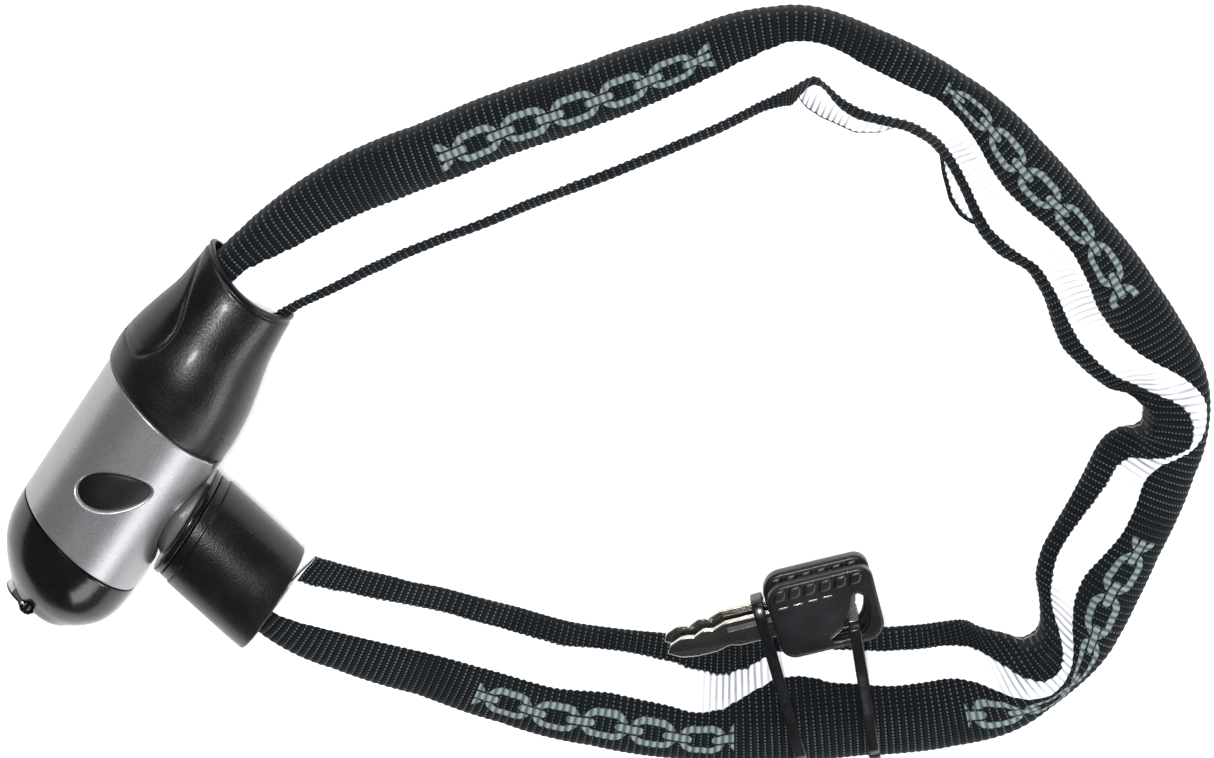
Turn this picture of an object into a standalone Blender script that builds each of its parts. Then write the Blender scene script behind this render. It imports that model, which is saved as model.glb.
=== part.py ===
"""Chain lock: a cylinder lock on a sleeved square-link chain, lying closed on a table.

World frame: +Z up from the table, +X along the loop from the lock, origin under the middle of the whole.
Lengths are written in millimetres and multiplied by MM; Blender's unit is the metre.
The lock's local frame has +Z along its barrel towards the chain, +Y up and +X away from the plug.
The plug's local frame has +Z away from the barrel's axis and +Y up.
"""

import math

import bmesh
import bpy
import numpy as np
from mathutils import Matrix, Vector

MM = 0.001
OFFSET = (3.1, 3.2)  # centres the whole over the origin
GAP = 0.3  # clearance between pieces that touch

# Barrel of the lock
BARREL_RADIUS = 22.0
BARREL_MIDDLE = (-142.0, -22.0)  # middle of the silver shell, seen from above
BARREL_TURN = math.radians(52.5)
SHELL_LENGTH = 48.0
SHELL_WALL = 1.5
SLANT = 0.13  # rise of the joint lines per unit across the barrel
CASTING_RADIUS = 20.2
CAP_LENGTH = 26.0
CAP_FACE_RADIUS = 12.5
CYLINDER_RADIUS = 8.3
CORE_RADIUS = 6.0
BOOT_END = 95.0
BOOT_WALL = 1.2
NECK_RADIUS = 11.5
NECK_END = 74.0
ANCHOR = (3.0, 62.0)  # across and along the barrel
BOLT_TOP = 14.5  # drawn back, with the plug free; it rises 2.6 to lock
BOLT_HEIGHT = 4.3
TONGUE_HEIGHT = 2.5
TRACK_ROOF = 13.6  # of the slot in the bolt that the cam's pin rides in
TRACK_DEPTH = 3.2
SHUTTER_PIVOT = 10.6  # height above the cylinder's axis
SHUTTER_RADIUS = 8.4
SHUTTER_EAR = 1.9

# Plug
PLUG_HEIGHT = 21.0  # along the barrel
NOSE_RADIUS = 6.0
DOME_RADIUS = 14.0
DOME_CENTRE = 28.2
PLUG_RADIUS = 17.4
PLUG_START = 24.5
PLUG_END = 57.0
PLUG_ANCHOR = (-2.0, 43.5)  # across and along the plug
CLEVIS_RADIUS = 12.5

# Chain
WIRE = 4.1
LINK_INNER_LENGTH = 30.8
LINK_INNER_WIDTH = 8.2
LINKS = 27
PIN_RADIUS = 2.2
PLUG_PIN_SLACK = 1.9  # play of the last link on its pin

# Sleeve section, measured from the chain's centre
SLEEVE_HALF_HEIGHT = 9.0
SLEEVE_OUTSIDE = 9.8
SLEEVE_WALL = 0.7
CUT_LINKS = (2, 8, 15)  # links that start a new stretch of the loop
# The chain's route and how far the sleeve reaches inwards from its outer edge: x, y, z, reach, droop
ROUTE = [
    (-112, 26, 22, 28.5, 0),
    (-107.5, 32.5, 22, 28.5, 0),
    (-101.5, 39.5, 22, 29, 0),
    (-92.5, 47.5, 20, 31, 0.2),
    (-77, 58, 15, 34, 0.6),
    (-61, 65.5, 11.5, 35, 1),
    (-45, 72, 9.5, 36, 1),
    (-29, 79.5, 9.3, 36, 1),
    (-11, 86, 9.3, 35.5, 1),
    (6, 92, 9.3, 34.5, 1),
    (24, 98, 9.3, 32, 1),
    (41, 103.5, 9.3, 30, 1),
    (56, 105, 9.3, 30, 1),
    (71, 100.5, 9.3, 28, 1),
    (87, 93, 9.3, 25, 1),
    (102, 84, 9.3, 24, 1),
    (115, 73, 9.3, 28, 1),
    (127, 60, 9.3, 31, 1),
    (139, 46, 9.3, 27, 1),
    (151, 31, 9.3, 31, 1),
    (161, 16, 9.3, 31, 1),
    (167.5, 2, 9.3, 28, 1),
    (168, -13, 9.3, 24, 1),
    (165, -28, 9.3, 29, 1),
    (159, -44, 9.3, 30, 1),
    (152, -61, 9.3, 31, 1),
    (145, -77, 9.3, 25, 1),
    (135, -88.5, 9.3, 24, 1),
    (122, -98.5, 9.3, 33, 1),
    (106, -103.5, 9.5, 37, 1),
    (89, -105.5, 10.9, 35, 1),
    (71, -107, 10.9, 34, 1),
    (53, -108.5, 10.9, 34.5, 1),
    (35, -109, 10, 36, 1),
    (17, -107.5, 9.4, 36, 1),
    (-1, -104.5, 9.3, 35, 1),
    (-18, -100.5, 9.3, 33.5, 1),
    (-36, -95, 10, 33, 1),
    (-53, -88, 12.5, 32, 0.7),
    (-70, -81, 16.5, 31, 0.3),
    (-86, -73.5, 20, 30, 0),
    (-97, -66, 22, 28, 0),
    (-103.5, -59.5, 22, 28, 0),
]
SLEEVE_START = 19.5  # along the route, inside the boot
SLEEVE_STOP = 15.5  # left free before the route's end, at the plug's rim

# Keys and ties
KEY_TIP = (18.0, -81.5)
KEY_TURN = math.radians(14.5)
KEY_THICKNESS = 2.2
HEAD_THICKNESS = 5.0
KEY_PLACES = [(0.0, 0.0, 13.5), (-1.0, 1.8, 8.1)]  # shift along x and y, height of the blade
TIE_WIDTH = 3.6
TIE_THICKNESS = 1.2


def empty_scene():
    for obj in list(bpy.data.objects):
        bpy.data.objects.remove(obj)


def new_collection(name):
    collection = bpy.data.collections.new(name)
    bpy.context.scene.collection.children.link(collection)
    return collection


def finish_of(name, color, roughness, metallic):
    material = bpy.data.materials.new(name)
    material.use_nodes = True
    shader = material.node_tree.nodes["Principled BSDF"]
    shader.inputs["Base Color"].default_value = (*color, 1)
    shader.inputs["Roughness"].default_value = roughness
    shader.inputs["Metallic"].default_value = metallic
    return material


def smooth(mesh):
    mesh.shade_smooth()
    mesh.set_sharp_from_angle(angle=math.radians(35))


def add(name, mesh, matrix, finish=None):
    """Puts a mesh in the scene as a part, or as a cutter when it has no finish."""
    obj = bpy.data.objects.new(name, mesh)
    obj.matrix_world = matrix
    if finish:
        mesh.materials.append(finish)
        parts.objects.link(obj)
    else:
        obj.hide_render = True
        obj.display_type = "WIRE"
        cutters.objects.link(obj)
    return obj


def evaluated(obj):
    """The object's finished mesh with its seams welded; the object itself is removed."""
    bpy.context.view_layer.update()
    graph = bpy.context.evaluated_depsgraph_get()
    mesh = bpy.data.meshes.new_from_object(obj.evaluated_get(graph))
    shape = bmesh.new()
    shape.from_mesh(mesh)
    bmesh.ops.remove_doubles(shape, verts=shape.verts, dist=1e-6)
    bmesh.ops.recalc_face_normals(shape, faces=shape.faces)
    shape.to_mesh(mesh)
    shape.free()
    mesh.materials.clear()
    bpy.data.objects.remove(obj)
    return mesh


def turned_mesh(outline, steps=32, closed=False):
    """Turns an outline of radius and height, given down its outer side, around Z."""
    mesh = bpy.data.meshes.new("outline")
    points = [(radius * MM, 0, height * MM) for radius, height in outline]
    edges = [(i, i + 1) for i in range(len(points) - 1)]
    if closed:
        edges.append((len(points) - 1, 0))
    mesh.from_pydata(points, edges, [])
    obj = bpy.data.objects.new("outline", mesh)
    bpy.context.scene.collection.objects.link(obj)
    screw = obj.modifiers.new("turn", "SCREW")
    screw.steps = steps
    screw.render_steps = steps
    screw.use_merge_vertices = True
    screw.merge_threshold = 1e-6
    return evaluated(obj)


def flat_mesh(outlines, thickness):
    """A flat plate around Z = 0 with an outer outline and its holes."""
    curve = bpy.data.curves.new("outline", "CURVE")
    curve.dimensions = "2D"
    curve.fill_mode = "BOTH"
    curve.extrude = thickness / 2 * MM
    for outline in outlines:
        spline = curve.splines.new("POLY")
        spline.points.add(len(outline) - 1)
        spline.use_cyclic_u = True
        for point, (x, y) in zip(spline.points, outline):
            point.co = (x * MM, y * MM, 0, 1)
    obj = bpy.data.objects.new("outline", curve)
    bpy.context.scene.collection.objects.link(obj)
    return evaluated(obj)


def box_mesh(low, high):
    shape = bmesh.new()
    bmesh.ops.create_cube(shape, size=1)
    mesh = bpy.data.meshes.new("box")
    shape.to_mesh(mesh)
    shape.free()
    size = [(b - a) * MM for a, b in zip(low, high)]
    middle = [(a + b) / 2 * MM for a, b in zip(low, high)]
    mesh.transform(Matrix.Translation(middle) @ Matrix.Diagonal((*size, 1)))
    return mesh


def rings_mesh(rings, closed=False):
    """Joins rings of equal length into a skin, capped at both ends or closed on itself."""
    rings = np.asarray(rings, float)
    count, around = rings.shape[:2]
    faces = []
    for i in range(count if closed else count - 1):
        j = (i + 1) % count
        for k in range(around):
            m = (k + 1) % around
            faces.append((i * around + k, i * around + m, j * around + m, j * around + k))
    if not closed:
        faces.append(tuple(reversed(range(around))))
        faces.append(tuple(range((count - 1) * around, count * around)))
    mesh = bpy.data.meshes.new("rings")
    mesh.from_pydata((rings.reshape(-1, 3) * MM).tolist(), [], faces)
    shape = bmesh.new()
    shape.from_mesh(mesh)
    bmesh.ops.recalc_face_normals(shape, faces=shape.faces)
    shape.to_mesh(mesh)
    shape.free()
    return mesh


def cut(obj, name, mesh, matrix):
    """Takes a mesh away from an object."""
    cutter = add(obj.name + "." + name, mesh, matrix)
    boolean = obj.modifiers.new(name, "BOOLEAN")
    boolean.operation = "DIFFERENCE"
    boolean.solver = "EXACT"
    boolean.object = cutter


def keep(obj, name, mesh, matrix):
    """Keeps only what an object and a mesh share."""
    cutter = add(obj.name + "." + name, mesh, matrix)
    boolean = obj.modifiers.new(name, "BOOLEAN")
    boolean.operation = "INTERSECT"
    boolean.solver = "EXACT"
    boolean.object = cutter


def slanted(mesh, fade_from=None):
    """Slants a turned mesh along its axis, all over or fading out below a height."""
    for vertex in mesh.vertices:
        share = 1.0
        if fade_from is not None:
            share = max(0.0, 1 + vertex.co.z / (fade_from * MM))
        vertex.co.z += SLANT * vertex.co.x * share
    return mesh


def arc(centre, radius, start, end, count):
    """Points of an arc in degrees, both ends included."""
    angles = np.radians(np.linspace(start, end, count))
    return [(centre[0] + radius * math.cos(a), centre[1] + radius * math.sin(a)) for a in angles]


def lock_frame():
    """The barrel's frame, with its origin on the axis at the shell's lower end."""
    along = Vector((math.cos(BARREL_TURN), math.sin(BARREL_TURN), 0))
    across = Vector((-math.sin(BARREL_TURN), math.cos(BARREL_TURN), 0))
    turn = Matrix((across, (0, 0, 1), along)).transposed().to_4x4()
    middle = Vector((BARREL_MIDDLE[0] + OFFSET[0], BARREL_MIDDLE[1] + OFFSET[1], BARREL_RADIUS))
    return Matrix.Translation((middle - along * SHELL_LENGTH / 2) * MM) @ turn


def plug_frame(lock):
    """The plug's frame, with its origin on the barrel's axis."""
    quarter = Matrix.Rotation(math.radians(-90), 4, "Y")
    return lock @ Matrix.Translation((0, 0, PLUG_HEIGHT * MM)) @ quarter


def shell(lock, plug):
    inner = BARREL_RADIUS - SHELL_WALL
    outline = [(BARREL_RADIUS, SHELL_LENGTH), (BARREL_RADIUS, 0), (inner, 0), (inner, SHELL_LENGTH)]
    obj = add("barrel_shell", slanted(turned_mesh(outline, 40, True)), lock, silver)
    scoop = turned_mesh(arc((0, DOME_CENTRE), DOME_RADIUS + 1.6, 90, -90, 17), 32)
    cut(obj, "scoop", scoop, plug)
    oval = [(10.9 * math.cos(a), 6.1 * math.sin(a)) for a in np.linspace(0, 2 * math.pi, 28, False)]
    cut(obj, "oval", flat_mesh([oval], 16), oval_place(lock))
    return obj


def oval_place(lock):
    """The inlay lies along world X on top of the shell."""
    middle = lock @ Vector((0.5 * MM, BARREL_RADIUS * MM, 25 * MM))
    return Matrix.Translation(middle)


def oval_inlay(lock):
    skin = [(BARREL_RADIUS + 0.2, SHELL_LENGTH), (BARREL_RADIUS + 0.2, 0)]
    skin += [(BARREL_RADIUS - SHELL_WALL + 0.2, 0), (BARREL_RADIUS - SHELL_WALL + 0.2, SHELL_LENGTH)]
    oval = [(10.55 * math.cos(a), 5.75 * math.sin(a)) for a in np.linspace(0, 2 * math.pi, 28, False)]
    obj = add("oval_inlay", flat_mesh([oval], 14), oval_place(lock), matte_black)
    keep(obj, "skin", turned_mesh(skin, 64, True), lock)


def casting(lock, plug):
    outline = [(0, NECK_END), (NECK_RADIUS, NECK_END), (NECK_RADIUS, SHELL_LENGTH - 0.6)]
    outline += [(CASTING_RADIUS, SHELL_LENGTH - 0.6), (CASTING_RADIUS, 0.4), (0, 0.4)]
    obj = add("lock_casting", slanted(turned_mesh(outline)), lock, steel)
    wide = CYLINDER_RADIUS + GAP
    bore = [(0, 17.8), (6.6, 17.8), (6.6, 8.6), (wide, 8.6), (wide, -8), (0, -8)]
    cut(obj, "axial_bore", turned_mesh(bore, 28), lock)
    nose = NOSE_RADIUS + 0.4
    lowest = math.degrees(math.acos(nose / (DOME_RADIUS + 0.8)))
    socket = arc((0, DOME_CENTRE), DOME_RADIUS + 0.8, 90, -lowest, 14) + [(nose, -8.4), (0, -8.4)]
    cut(obj, "socket", turned_mesh(socket, 30), plug)
    eighth = Matrix.Rotation(math.radians(45 * LINK_SIDES[0]), 4, "Z")
    slot = box_mesh((-20, -4.4, 55), (20, 4.4, 90))
    cut(obj, "slot", slot, lock @ Matrix.Translation((ANCHOR[0] * MM, 0, 0)) @ eighth)
    pin = [(0, 30), (PIN_RADIUS + GAP, 30), (PIN_RADIUS + GAP, -30), (0, -30)]
    cut(obj, "pin_hole", turned_mesh(pin, 16), end_pin_place(0))


def end_cap(lock):
    reach = BARREL_RADIUS - CAP_FACE_RADIUS
    curve = []
    for t in np.linspace(0, math.pi / 2, 8):
        curve.append((CAP_FACE_RADIUS + reach * math.cos(t), -3 - (CAP_LENGTH - 3) * math.sin(t)))
    bore = CYLINDER_RADIUS + 0.4
    outline = [(BARREL_RADIUS, -GAP)] + curve + [(bore, -CAP_LENGTH), (bore, -GAP)]
    add("end_cap", slanted(turned_mesh(outline, 36, True), CAP_LENGTH), lock, gloss_black)


def key_cylinder(lock):
    bore = CORE_RADIUS + GAP
    top, bottom = 8.2, -CAP_LENGTH + 0.3
    outline = [(CYLINDER_RADIUS, top), (CYLINDER_RADIUS, bottom), (bore, bottom), (bore, top)]
    add("cylinder_housing", turned_mesh(outline, 24, True), lock, steel)
    core = [(0, 8.0), (CORE_RADIUS, 8.0), (CORE_RADIUS, bottom + 0.2), (0, bottom + 0.2)]
    obj = add("cylinder_core", turned_mesh(core, 24), lock, brass)
    cut(obj, "keyway", box_mesh((-1.4, -4.7, -30), (1.4, 4.7, 3)), lock)
    disc = [(0, 9.9), (5.6, 9.9), (5.6, 8.3), (0, 8.3)]
    cam = add("drive_cam", turned_mesh(disc, 20), lock, steel)
    top = TRACK_ROOF - GAP
    pin = turned_mesh([(0, top), (1.1, top), (1.1, 9.0), (0, 9.0)], 10)
    place = lock @ Matrix.Translation((4.1 * MM, 0, 0))
    union = cam.modifiers.new("pin", "BOOLEAN")
    union.operation = "UNION"
    union.solver = "EXACT"
    union.object = add("drive_cam.pin", pin, place)


def locking_bolt(lock):
    base = BOLT_TOP - BOLT_HEIGHT
    outline = [(0, BOLT_TOP), (6.3, BOLT_TOP), (6.3, base), (0, base)]
    obj = add("locking_bolt", turned_mesh(outline, 24), lock, steel)
    # the tongue that enters the groove of the nose
    for side in (-1, 1):
        low, high = sorted((side * 2.8, side * 9))
        cut(obj, "tongue%d" % (side + 1), box_mesh((low, -9, BOLT_TOP - TONGUE_HEIGHT), (high, 9, 20)), lock)
    track = arc((0, 0), 5.6, -25, 115, 10) + arc((0, 0), 2.6, 115, -25, 8)
    place = lock @ Matrix.Translation((0, 0, (TRACK_ROOF - TRACK_DEPTH) * MM))
    cut(obj, "cam_track", flat_mesh([track], 2 * TRACK_DEPTH), place)


def shutter(lock):
    """A swivelling cover over the keyway, hung on its pin above the cylinder."""
    face = -CAP_LENGTH - GAP
    place = lock @ Matrix.Translation((0, SHUTTER_PIVOT * MM, 0))
    outline = arc((0, -SHUTTER_PIVOT), SHUTTER_RADIUS, 112, 428, 24)
    outline += arc((0, 0), SHUTTER_EAR, -1, 181, 7)
    hole = arc((0, 0), 1.2, 0, 330, 12)
    plate = flat_mesh([outline, hole], 1.0)
    plate.transform(Matrix.Translation((0, 0, (face - 0.5) * MM)))
    add("keyhole_shutter", plate, place, gloss_black)
    pin = [(0, face + 0.1), (0.9, face + 0.1), (0.9, face - 1.3), (1.8, face - 1.3)]
    pin += [(1.8, face - 1.9), (0, face - 1.9)]
    add("shutter_pin", turned_mesh(pin, 12), place, steel)


def chain_boot(lock):
    """The moulded boot, round at the shell and narrowing to the sleeve's mouth."""
    # height, half width, half depth, middle across the barrel
    stations = [
        (SHELL_LENGTH + GAP, 22.0, 22.0, 0.0),
        (53, 22.4, 22.0, 0.3),
        (64, 21.9, 21.6, 0.2),
        (72, 20.6, 19.6, 0.3),
        (80, 18.6, 16.6, 0.8),
        (87, 17.9, 14.8, 1.3),
        (BOOT_END, 17.6, 13.6, 1.6),
    ]
    angles = np.linspace(0, 2 * math.pi, 28, False)

    def ring(height, wide, deep, middle, inset):
        x = middle + (wide - inset) * np.cos(angles)
        y = (deep - inset) * np.sin(angles)
        return np.stack([x, y, height + SLANT * x], axis=1)

    outside = [ring(*station, 0) for station in stations]
    walls = [2.4, 2.8, 3.0, 2.4, 1.8, 1.5, BOOT_WALL]
    inside = [ring(*station, wall) for station, wall in zip(stations, walls)]
    mesh = rings_mesh(outside + inside[::-1], closed=True)
    add("chain_boot", mesh, lock, moulded_black)


def plug_pieces(plug):
    nose = [(0, 49), (CLEVIS_RADIUS, 49), (CLEVIS_RADIUS, 34.6), (NOSE_RADIUS, 34.6)]
    nose += [(NOSE_RADIUS, 3.3), (3.6, 3.3), (3.6, -3.3), (NOSE_RADIUS, -3.3)]
    nose += [(NOSE_RADIUS, -6.6), (NOSE_RADIUS - 1, -7.6), (0, -7.6)]
    obj = add("plug_pin", turned_mesh(nose, 28), plug, steel)
    eighth = Matrix.Rotation(math.radians(-45 * LINK_SIDES[-1]), 4, "Z")
    place = plug @ Matrix.Translation((PLUG_ANCHOR[0] * MM, 0, 0)) @ eighth
    cut(obj, "slot", box_mesh((-20, -4.4, 37.0), (20, 4.4, 60)), place)
    hole = [(0, 30), (PIN_RADIUS + GAP, 30), (PIN_RADIUS + GAP, -30), (0, -30)]
    cut(obj, "pin_hole", turned_mesh(hole, 16), end_pin_place(LINKS - 1))
    bore = NOSE_RADIUS + GAP
    low = DOME_CENTRE - math.sqrt(DOME_RADIUS**2 - bore**2)
    base = math.sqrt(DOME_RADIUS**2 - (DOME_CENTRE - 22.0) ** 2)
    start = math.degrees(math.atan2(22.0 - DOME_CENTRE, base))
    end = math.degrees(math.atan2(low - DOME_CENTRE, bore))
    dome = arc((0, DOME_CENTRE), DOME_RADIUS, start, end, 7)
    add("plug_collar", turned_mesh([(base, 22.6)] + dome + [(bore, 22.6)], 32, True), plug, silver)
    ring = [(16.9, 24.2), (16.9, 22.9), (bore, 22.9), (bore, 24.2)]
    add("plug_ring", turned_mesh(ring, 32, True), plug, gloss_black)
    inner = PLUG_RADIUS - 2.1
    outline = [(PLUG_RADIUS - 0.5, PLUG_END), (PLUG_RADIUS, PLUG_END - 0.6)]
    outline += [(PLUG_RADIUS, PLUG_START + 0.7), (PLUG_RADIUS - 0.6, PLUG_START)]
    outline += [(bore, PLUG_START), (bore, 34.2), (inner, 34.2), (inner, PLUG_END)]
    add("plug_boot", turned_mesh(outline, 36, True), plug, moulded_black)


def smooth_line(points, spacing):
    """A Catmull-Rom curve through the points, read at an even spacing."""
    points = np.asarray(points, float)
    padded = np.vstack([2 * points[0] - points[1], points, 2 * points[-1] - points[-2]])
    fine = []
    for i in range(len(points) - 1):
        a, b, c, d = padded[i : i + 4]
        t = np.linspace(0, 1, 12, False)[:, None]
        curve = 2 * b + (c - a) * t + (2 * a - 5 * b + 4 * c - d) * t**2
        fine.append((curve + (3 * b - a - 3 * c + d) * t**3) / 2)
    fine = np.vstack(fine + [points[-1:]])
    steps = np.linalg.norm(np.diff(fine[:, :3], axis=0), axis=1)
    along = np.concatenate([[0], np.cumsum(steps)])
    count = max(2, round(along[-1] / spacing) + 1)
    places = np.linspace(0, along[-1], count)
    return np.stack([np.interp(places, along, column) for column in fine.T], axis=1)


def chain_route(lock, plug):
    """The route from the anchor pin to the plug's pin, with reach and droop."""
    moved = [(x + OFFSET[0], y + OFFSET[1], *rest) for x, y, *rest in ROUTE]
    start = lock @ Vector((ANCHOR[0] * MM, 0, ANCHOR[1] * MM)) / MM
    end = plug @ Vector((PLUG_ANCHOR[0] * MM, 0, PLUG_ANCHOR[1] * MM)) / MM
    first = (*start, ROUTE[0][3], 0)
    last = (*end, ROUTE[-1][3], 0)
    return smooth_line([first] + moved + [last], 1.0)


def junctions(route):
    """Where each link meets the next, at an even pitch along the route."""
    places = np.linspace(0, len(route) - 1, LINKS + 1)
    return np.stack([np.interp(places, range(len(route)), route[:, k]) for k in range(3)], axis=1)


def link_frame(index):
    """A link's frame: its middle, its long side along X, tilted alternately each way."""
    a, b = Vector(joints[index]), Vector(joints[index + 1])
    long_side = (b - a).normalized()
    level = Vector((0, 0, 1)).cross(long_side).normalized()
    turn = Matrix((long_side, level, long_side.cross(level))).transposed().to_4x4()
    roll = Matrix.Rotation(math.radians(45 * LINK_SIDES[index]), 4, "X")
    return Matrix.Translation((a + b) / 2 * MM) @ turn @ roll


def end_pin_place(index):
    """The frame of the pin through the first or last link, with Z along the pin."""
    slack = GAP if index == 0 else PLUG_PIN_SLACK
    inside = LINK_INNER_LENGTH / 2 - PIN_RADIUS - slack
    side = -1 if index == 0 else 1
    return link_frame(index) @ Matrix.Translation((side * inside * MM, 0, 0))


def chain():
    outer_half = LINK_INNER_WIDTH / 2 + WIRE
    straight = LINK_INNER_LENGTH / 2 - LINK_INNER_WIDTH / 2
    outlines = []
    for half in (outer_half, LINK_INNER_WIDTH / 2):
        right = arc((straight, 0), half, -90, 90, 7)
        left = arc((-straight, 0), half, 90, 270, 7)
        outlines.append(right + left)
    mesh = flat_mesh(outlines, WIRE)
    mesh.materials.append(chain_steel)
    for index in range(LINKS):
        obj = bpy.data.objects.new("chain_link_%02d" % (index + 1), mesh)
        obj.matrix_world = link_frame(index)
        parts.objects.link(obj)
    pin = [(0, 10.4), (PIN_RADIUS, 10.4), (PIN_RADIUS, -10.4), (0, -10.4)]
    add("anchor_pin", turned_mesh(pin, 16), end_pin_place(0), steel)
    add("plug_link_pin", turned_mesh(pin, 16), end_pin_place(LINKS - 1), steel)


def sleeve_section(reach, droop, inset):
    """Distance inwards and height of the sleeve's skin, around a bulge with a flap."""
    angles = np.radians(np.linspace(-90, -270, 9))
    power = 0.75
    wide, tall = SLEEVE_OUTSIDE - inset, SLEEVE_HALF_HEIGHT - inset
    across = wide * np.sign(np.cos(angles)) * np.abs(np.cos(angles)) ** power
    height = tall * np.sign(np.sin(angles)) * np.abs(np.sin(angles)) ** power
    tip = reach - SLEEVE_OUTSIDE
    bulge = 8.8
    share = np.array([0.3, 0.6, 0.92, 1.0])
    flap = np.array([8.9, 7.2, 4.4, 2.6, 1.7, 0.9])
    inside = np.concatenate([[5.2, bulge], bulge + share * (tip - bulge) - inset * (share > 0.9)])
    half = np.maximum(flap - inset, 0.35)
    middle = -(SLEEVE_HALF_HEIGHT - flap) * droop
    top = np.stack([inside, middle + half], axis=1)
    bottom = np.stack([inside, middle - half], axis=1)[::-1]
    return np.vstack([np.stack([across, height], axis=1), top, bottom])


def sleeve_rings(route, first, last, open_first, open_last, inset):
    """The sleeve's rings between two places along the route, notched at the hinges."""
    half_pitch = (len(route) - 1) / LINKS / 2
    count = math.ceil((last - first) / half_pitch - 0.2) + 1
    places = np.linspace(first, last, count)
    if open_first:
        places = np.append(first + half_pitch * np.arange(count - 1), last)

    def read(where):
        """Middle of the chain, reach and droop; the chain runs straight from joint to joint."""
        corners = [np.interp(where / half_pitch / 2, range(LINKS + 1), joints[:, k]) for k in range(3)]
        return corners + [np.interp(where, range(len(route)), route[:, k]) for k in (3, 4)]

    at = read(places)
    before, after = read(places - 5), read(places + 5)
    heading = np.arctan2(after[1] - before[1], after[0] - before[0])
    rings = []
    for i in range(count):
        section = sleeve_section(at[3][i], at[4][i], inset)
        inwards = np.array([math.sin(heading[i]), -math.cos(heading[i]), 0])
        forward = np.array([math.cos(heading[i]), math.sin(heading[i]), 0])
        ring = np.array([at[0][i], at[1][i], at[2][i]]) + section[:, :1] * inwards
        ring = ring + section[:, 1:] * np.array([0, 0, 1.0])
        back = np.zeros(len(section))
        for is_end, notch, sign in ((i == 0, open_first, 1), (i == count - 1, open_last, -1)):
            if is_end and notch:
                inner, outer = np.maximum(section[:, 0], 0), np.maximum(-section[:, 0], 0)
                back = sign * (0.4 + inner * notch[0] + outer * notch[1])
        rings.append(ring + back[:, None] * forward)
    return rings


def sleeve(route):
    """The woven sleeve as stretches that part at the loop's hinges."""
    pitch = (len(route) - 1) / LINKS
    cuts = [SLEEVE_START] + [index * pitch for index in CUT_LINKS] + [len(route) - 1 - SLEEVE_STOP]
    notches = [None, (0.12, 0.02), (0.03, 0.18), (0.08, 0.02), None]
    for i in range(4):
        ends = (cuts[i], cuts[i + 1], notches[i], notches[i + 1])
        outside = sleeve_rings(route, *ends, 0)
        inside = sleeve_rings(route, *ends, SLEEVE_WALL)
        mesh = rings_mesh(outside + inside[::-1], closed=True)
        add("sleeve_%d" % (i + 1), mesh, Matrix.Identity(4), webbing)


def keys():
    blade = [(0, -1.2), (1.5, 1.2), (5, 2.6), (9, 2.0), (12, 3.4), (15, 2.8), (19, 4.2), (33, 4.2)]
    blade += [(45, 4.2), (45, -4.2), (22, -4.2), (19, -3.4), (15, -4.4), (9, -4.4), (4, -3.6)]
    head = arc((39, 6), 6, 180, 90, 5) + arc((61.5, 7.5), 4.5, 90, 0, 4)
    head += arc((60.5, -6.5), 5.5, 0, -90, 4) + arc((38.5, -7), 5, 270, 180, 4)
    opening = [(59.5, 3.5), (57.2, -1.5), (54.2, -5.5), (49.5, -8.8)]
    opening += [(54.5, -9.2), (59.2, -8.6), (61.8, -4), (62.2, 1.5)]
    for index, (shift_x, shift_y, height) in enumerate(KEY_PLACES):
        tip = (KEY_TIP[0] + shift_x + OFFSET[0], KEY_TIP[1] + shift_y + OFFSET[1], height)
        place = Matrix.Translation(Vector(tip) * MM) @ Matrix.Rotation(KEY_TURN, 4, "Z")
        number = index + 1
        add("key_%d_blade" % number, flat_mesh([blade], KEY_THICKNESS), place, nickel)
        obj = add("key_%d_head" % number, flat_mesh([head, opening], HEAD_THICKNESS), place, moulded_black)
        cut(obj, "tongue", box_mesh((30, -4.6, -1.4), (45.5, 4.6, 1.4)), place)


def ties():
    """Two cable ties around the strap, one over the key shanks and one through the heads."""
    # outlines run inwards from the chain, at a height above the table
    common = [(-6.5, 1.5), (-9.9, 4.5), (-10.6, 11), (-10.1, 17.2), (-6.5, 20.6), (0, 21), (5, 20.6)]
    over = common + [(28, 17), (42, 16.6), (45.4, 15.6), (45.8, 2.6), (44.6, 1.5)]
    through = common + [(20, 17.2), (33.2, 17.2), (34.2, 16.2), (34.2, 2.6), (33, 1.5)]
    # where each crosses the chain and where it ends inwards
    runs = [((57.4, -108.2), (44.6, -64.3), over), ((80.2, -106.2), (74.9, -74.4), through)]
    for index, (start, end, inner) in enumerate(runs):
        inwards = Vector((end[0] - start[0], end[1] - start[1], 0)).normalized()
        shape = np.array(inner)
        ahead = np.roll(shape, -1, axis=0) - np.roll(shape, 1, axis=0)
        ahead /= np.linalg.norm(ahead, axis=1)[:, None]
        outer = shape + TIE_THICKNESS * np.stack([-ahead[:, 1], ahead[:, 0]], axis=1)
        mesh = flat_mesh([outer.tolist(), inner], TIE_WIDTH)
        turn = Matrix((inwards, (0, 0, 1), inwards.cross(Vector((0, 0, 1))))).transposed().to_4x4()
        middle = Vector((start[0] + OFFSET[0], start[1] + OFFSET[1], 0)) * MM
        add("cable_tie_%d" % (index + 1), mesh, Matrix.Translation(middle) @ turn, nylon)


def hang(name, place, names):
    """Puts an empty on a hinge's axis and hangs the named pieces on it where they are."""
    pivot = bpy.data.objects.new(name, None)
    pivot.empty_display_size = 10 * MM
    pivot.matrix_world = place
    pivots.objects.link(pivot)
    bpy.context.view_layer.update()
    for piece in names:
        obj = parts.objects[piece]
        obj.parent = pivot
        obj.matrix_parent_inverse = place.inverted()


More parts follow.
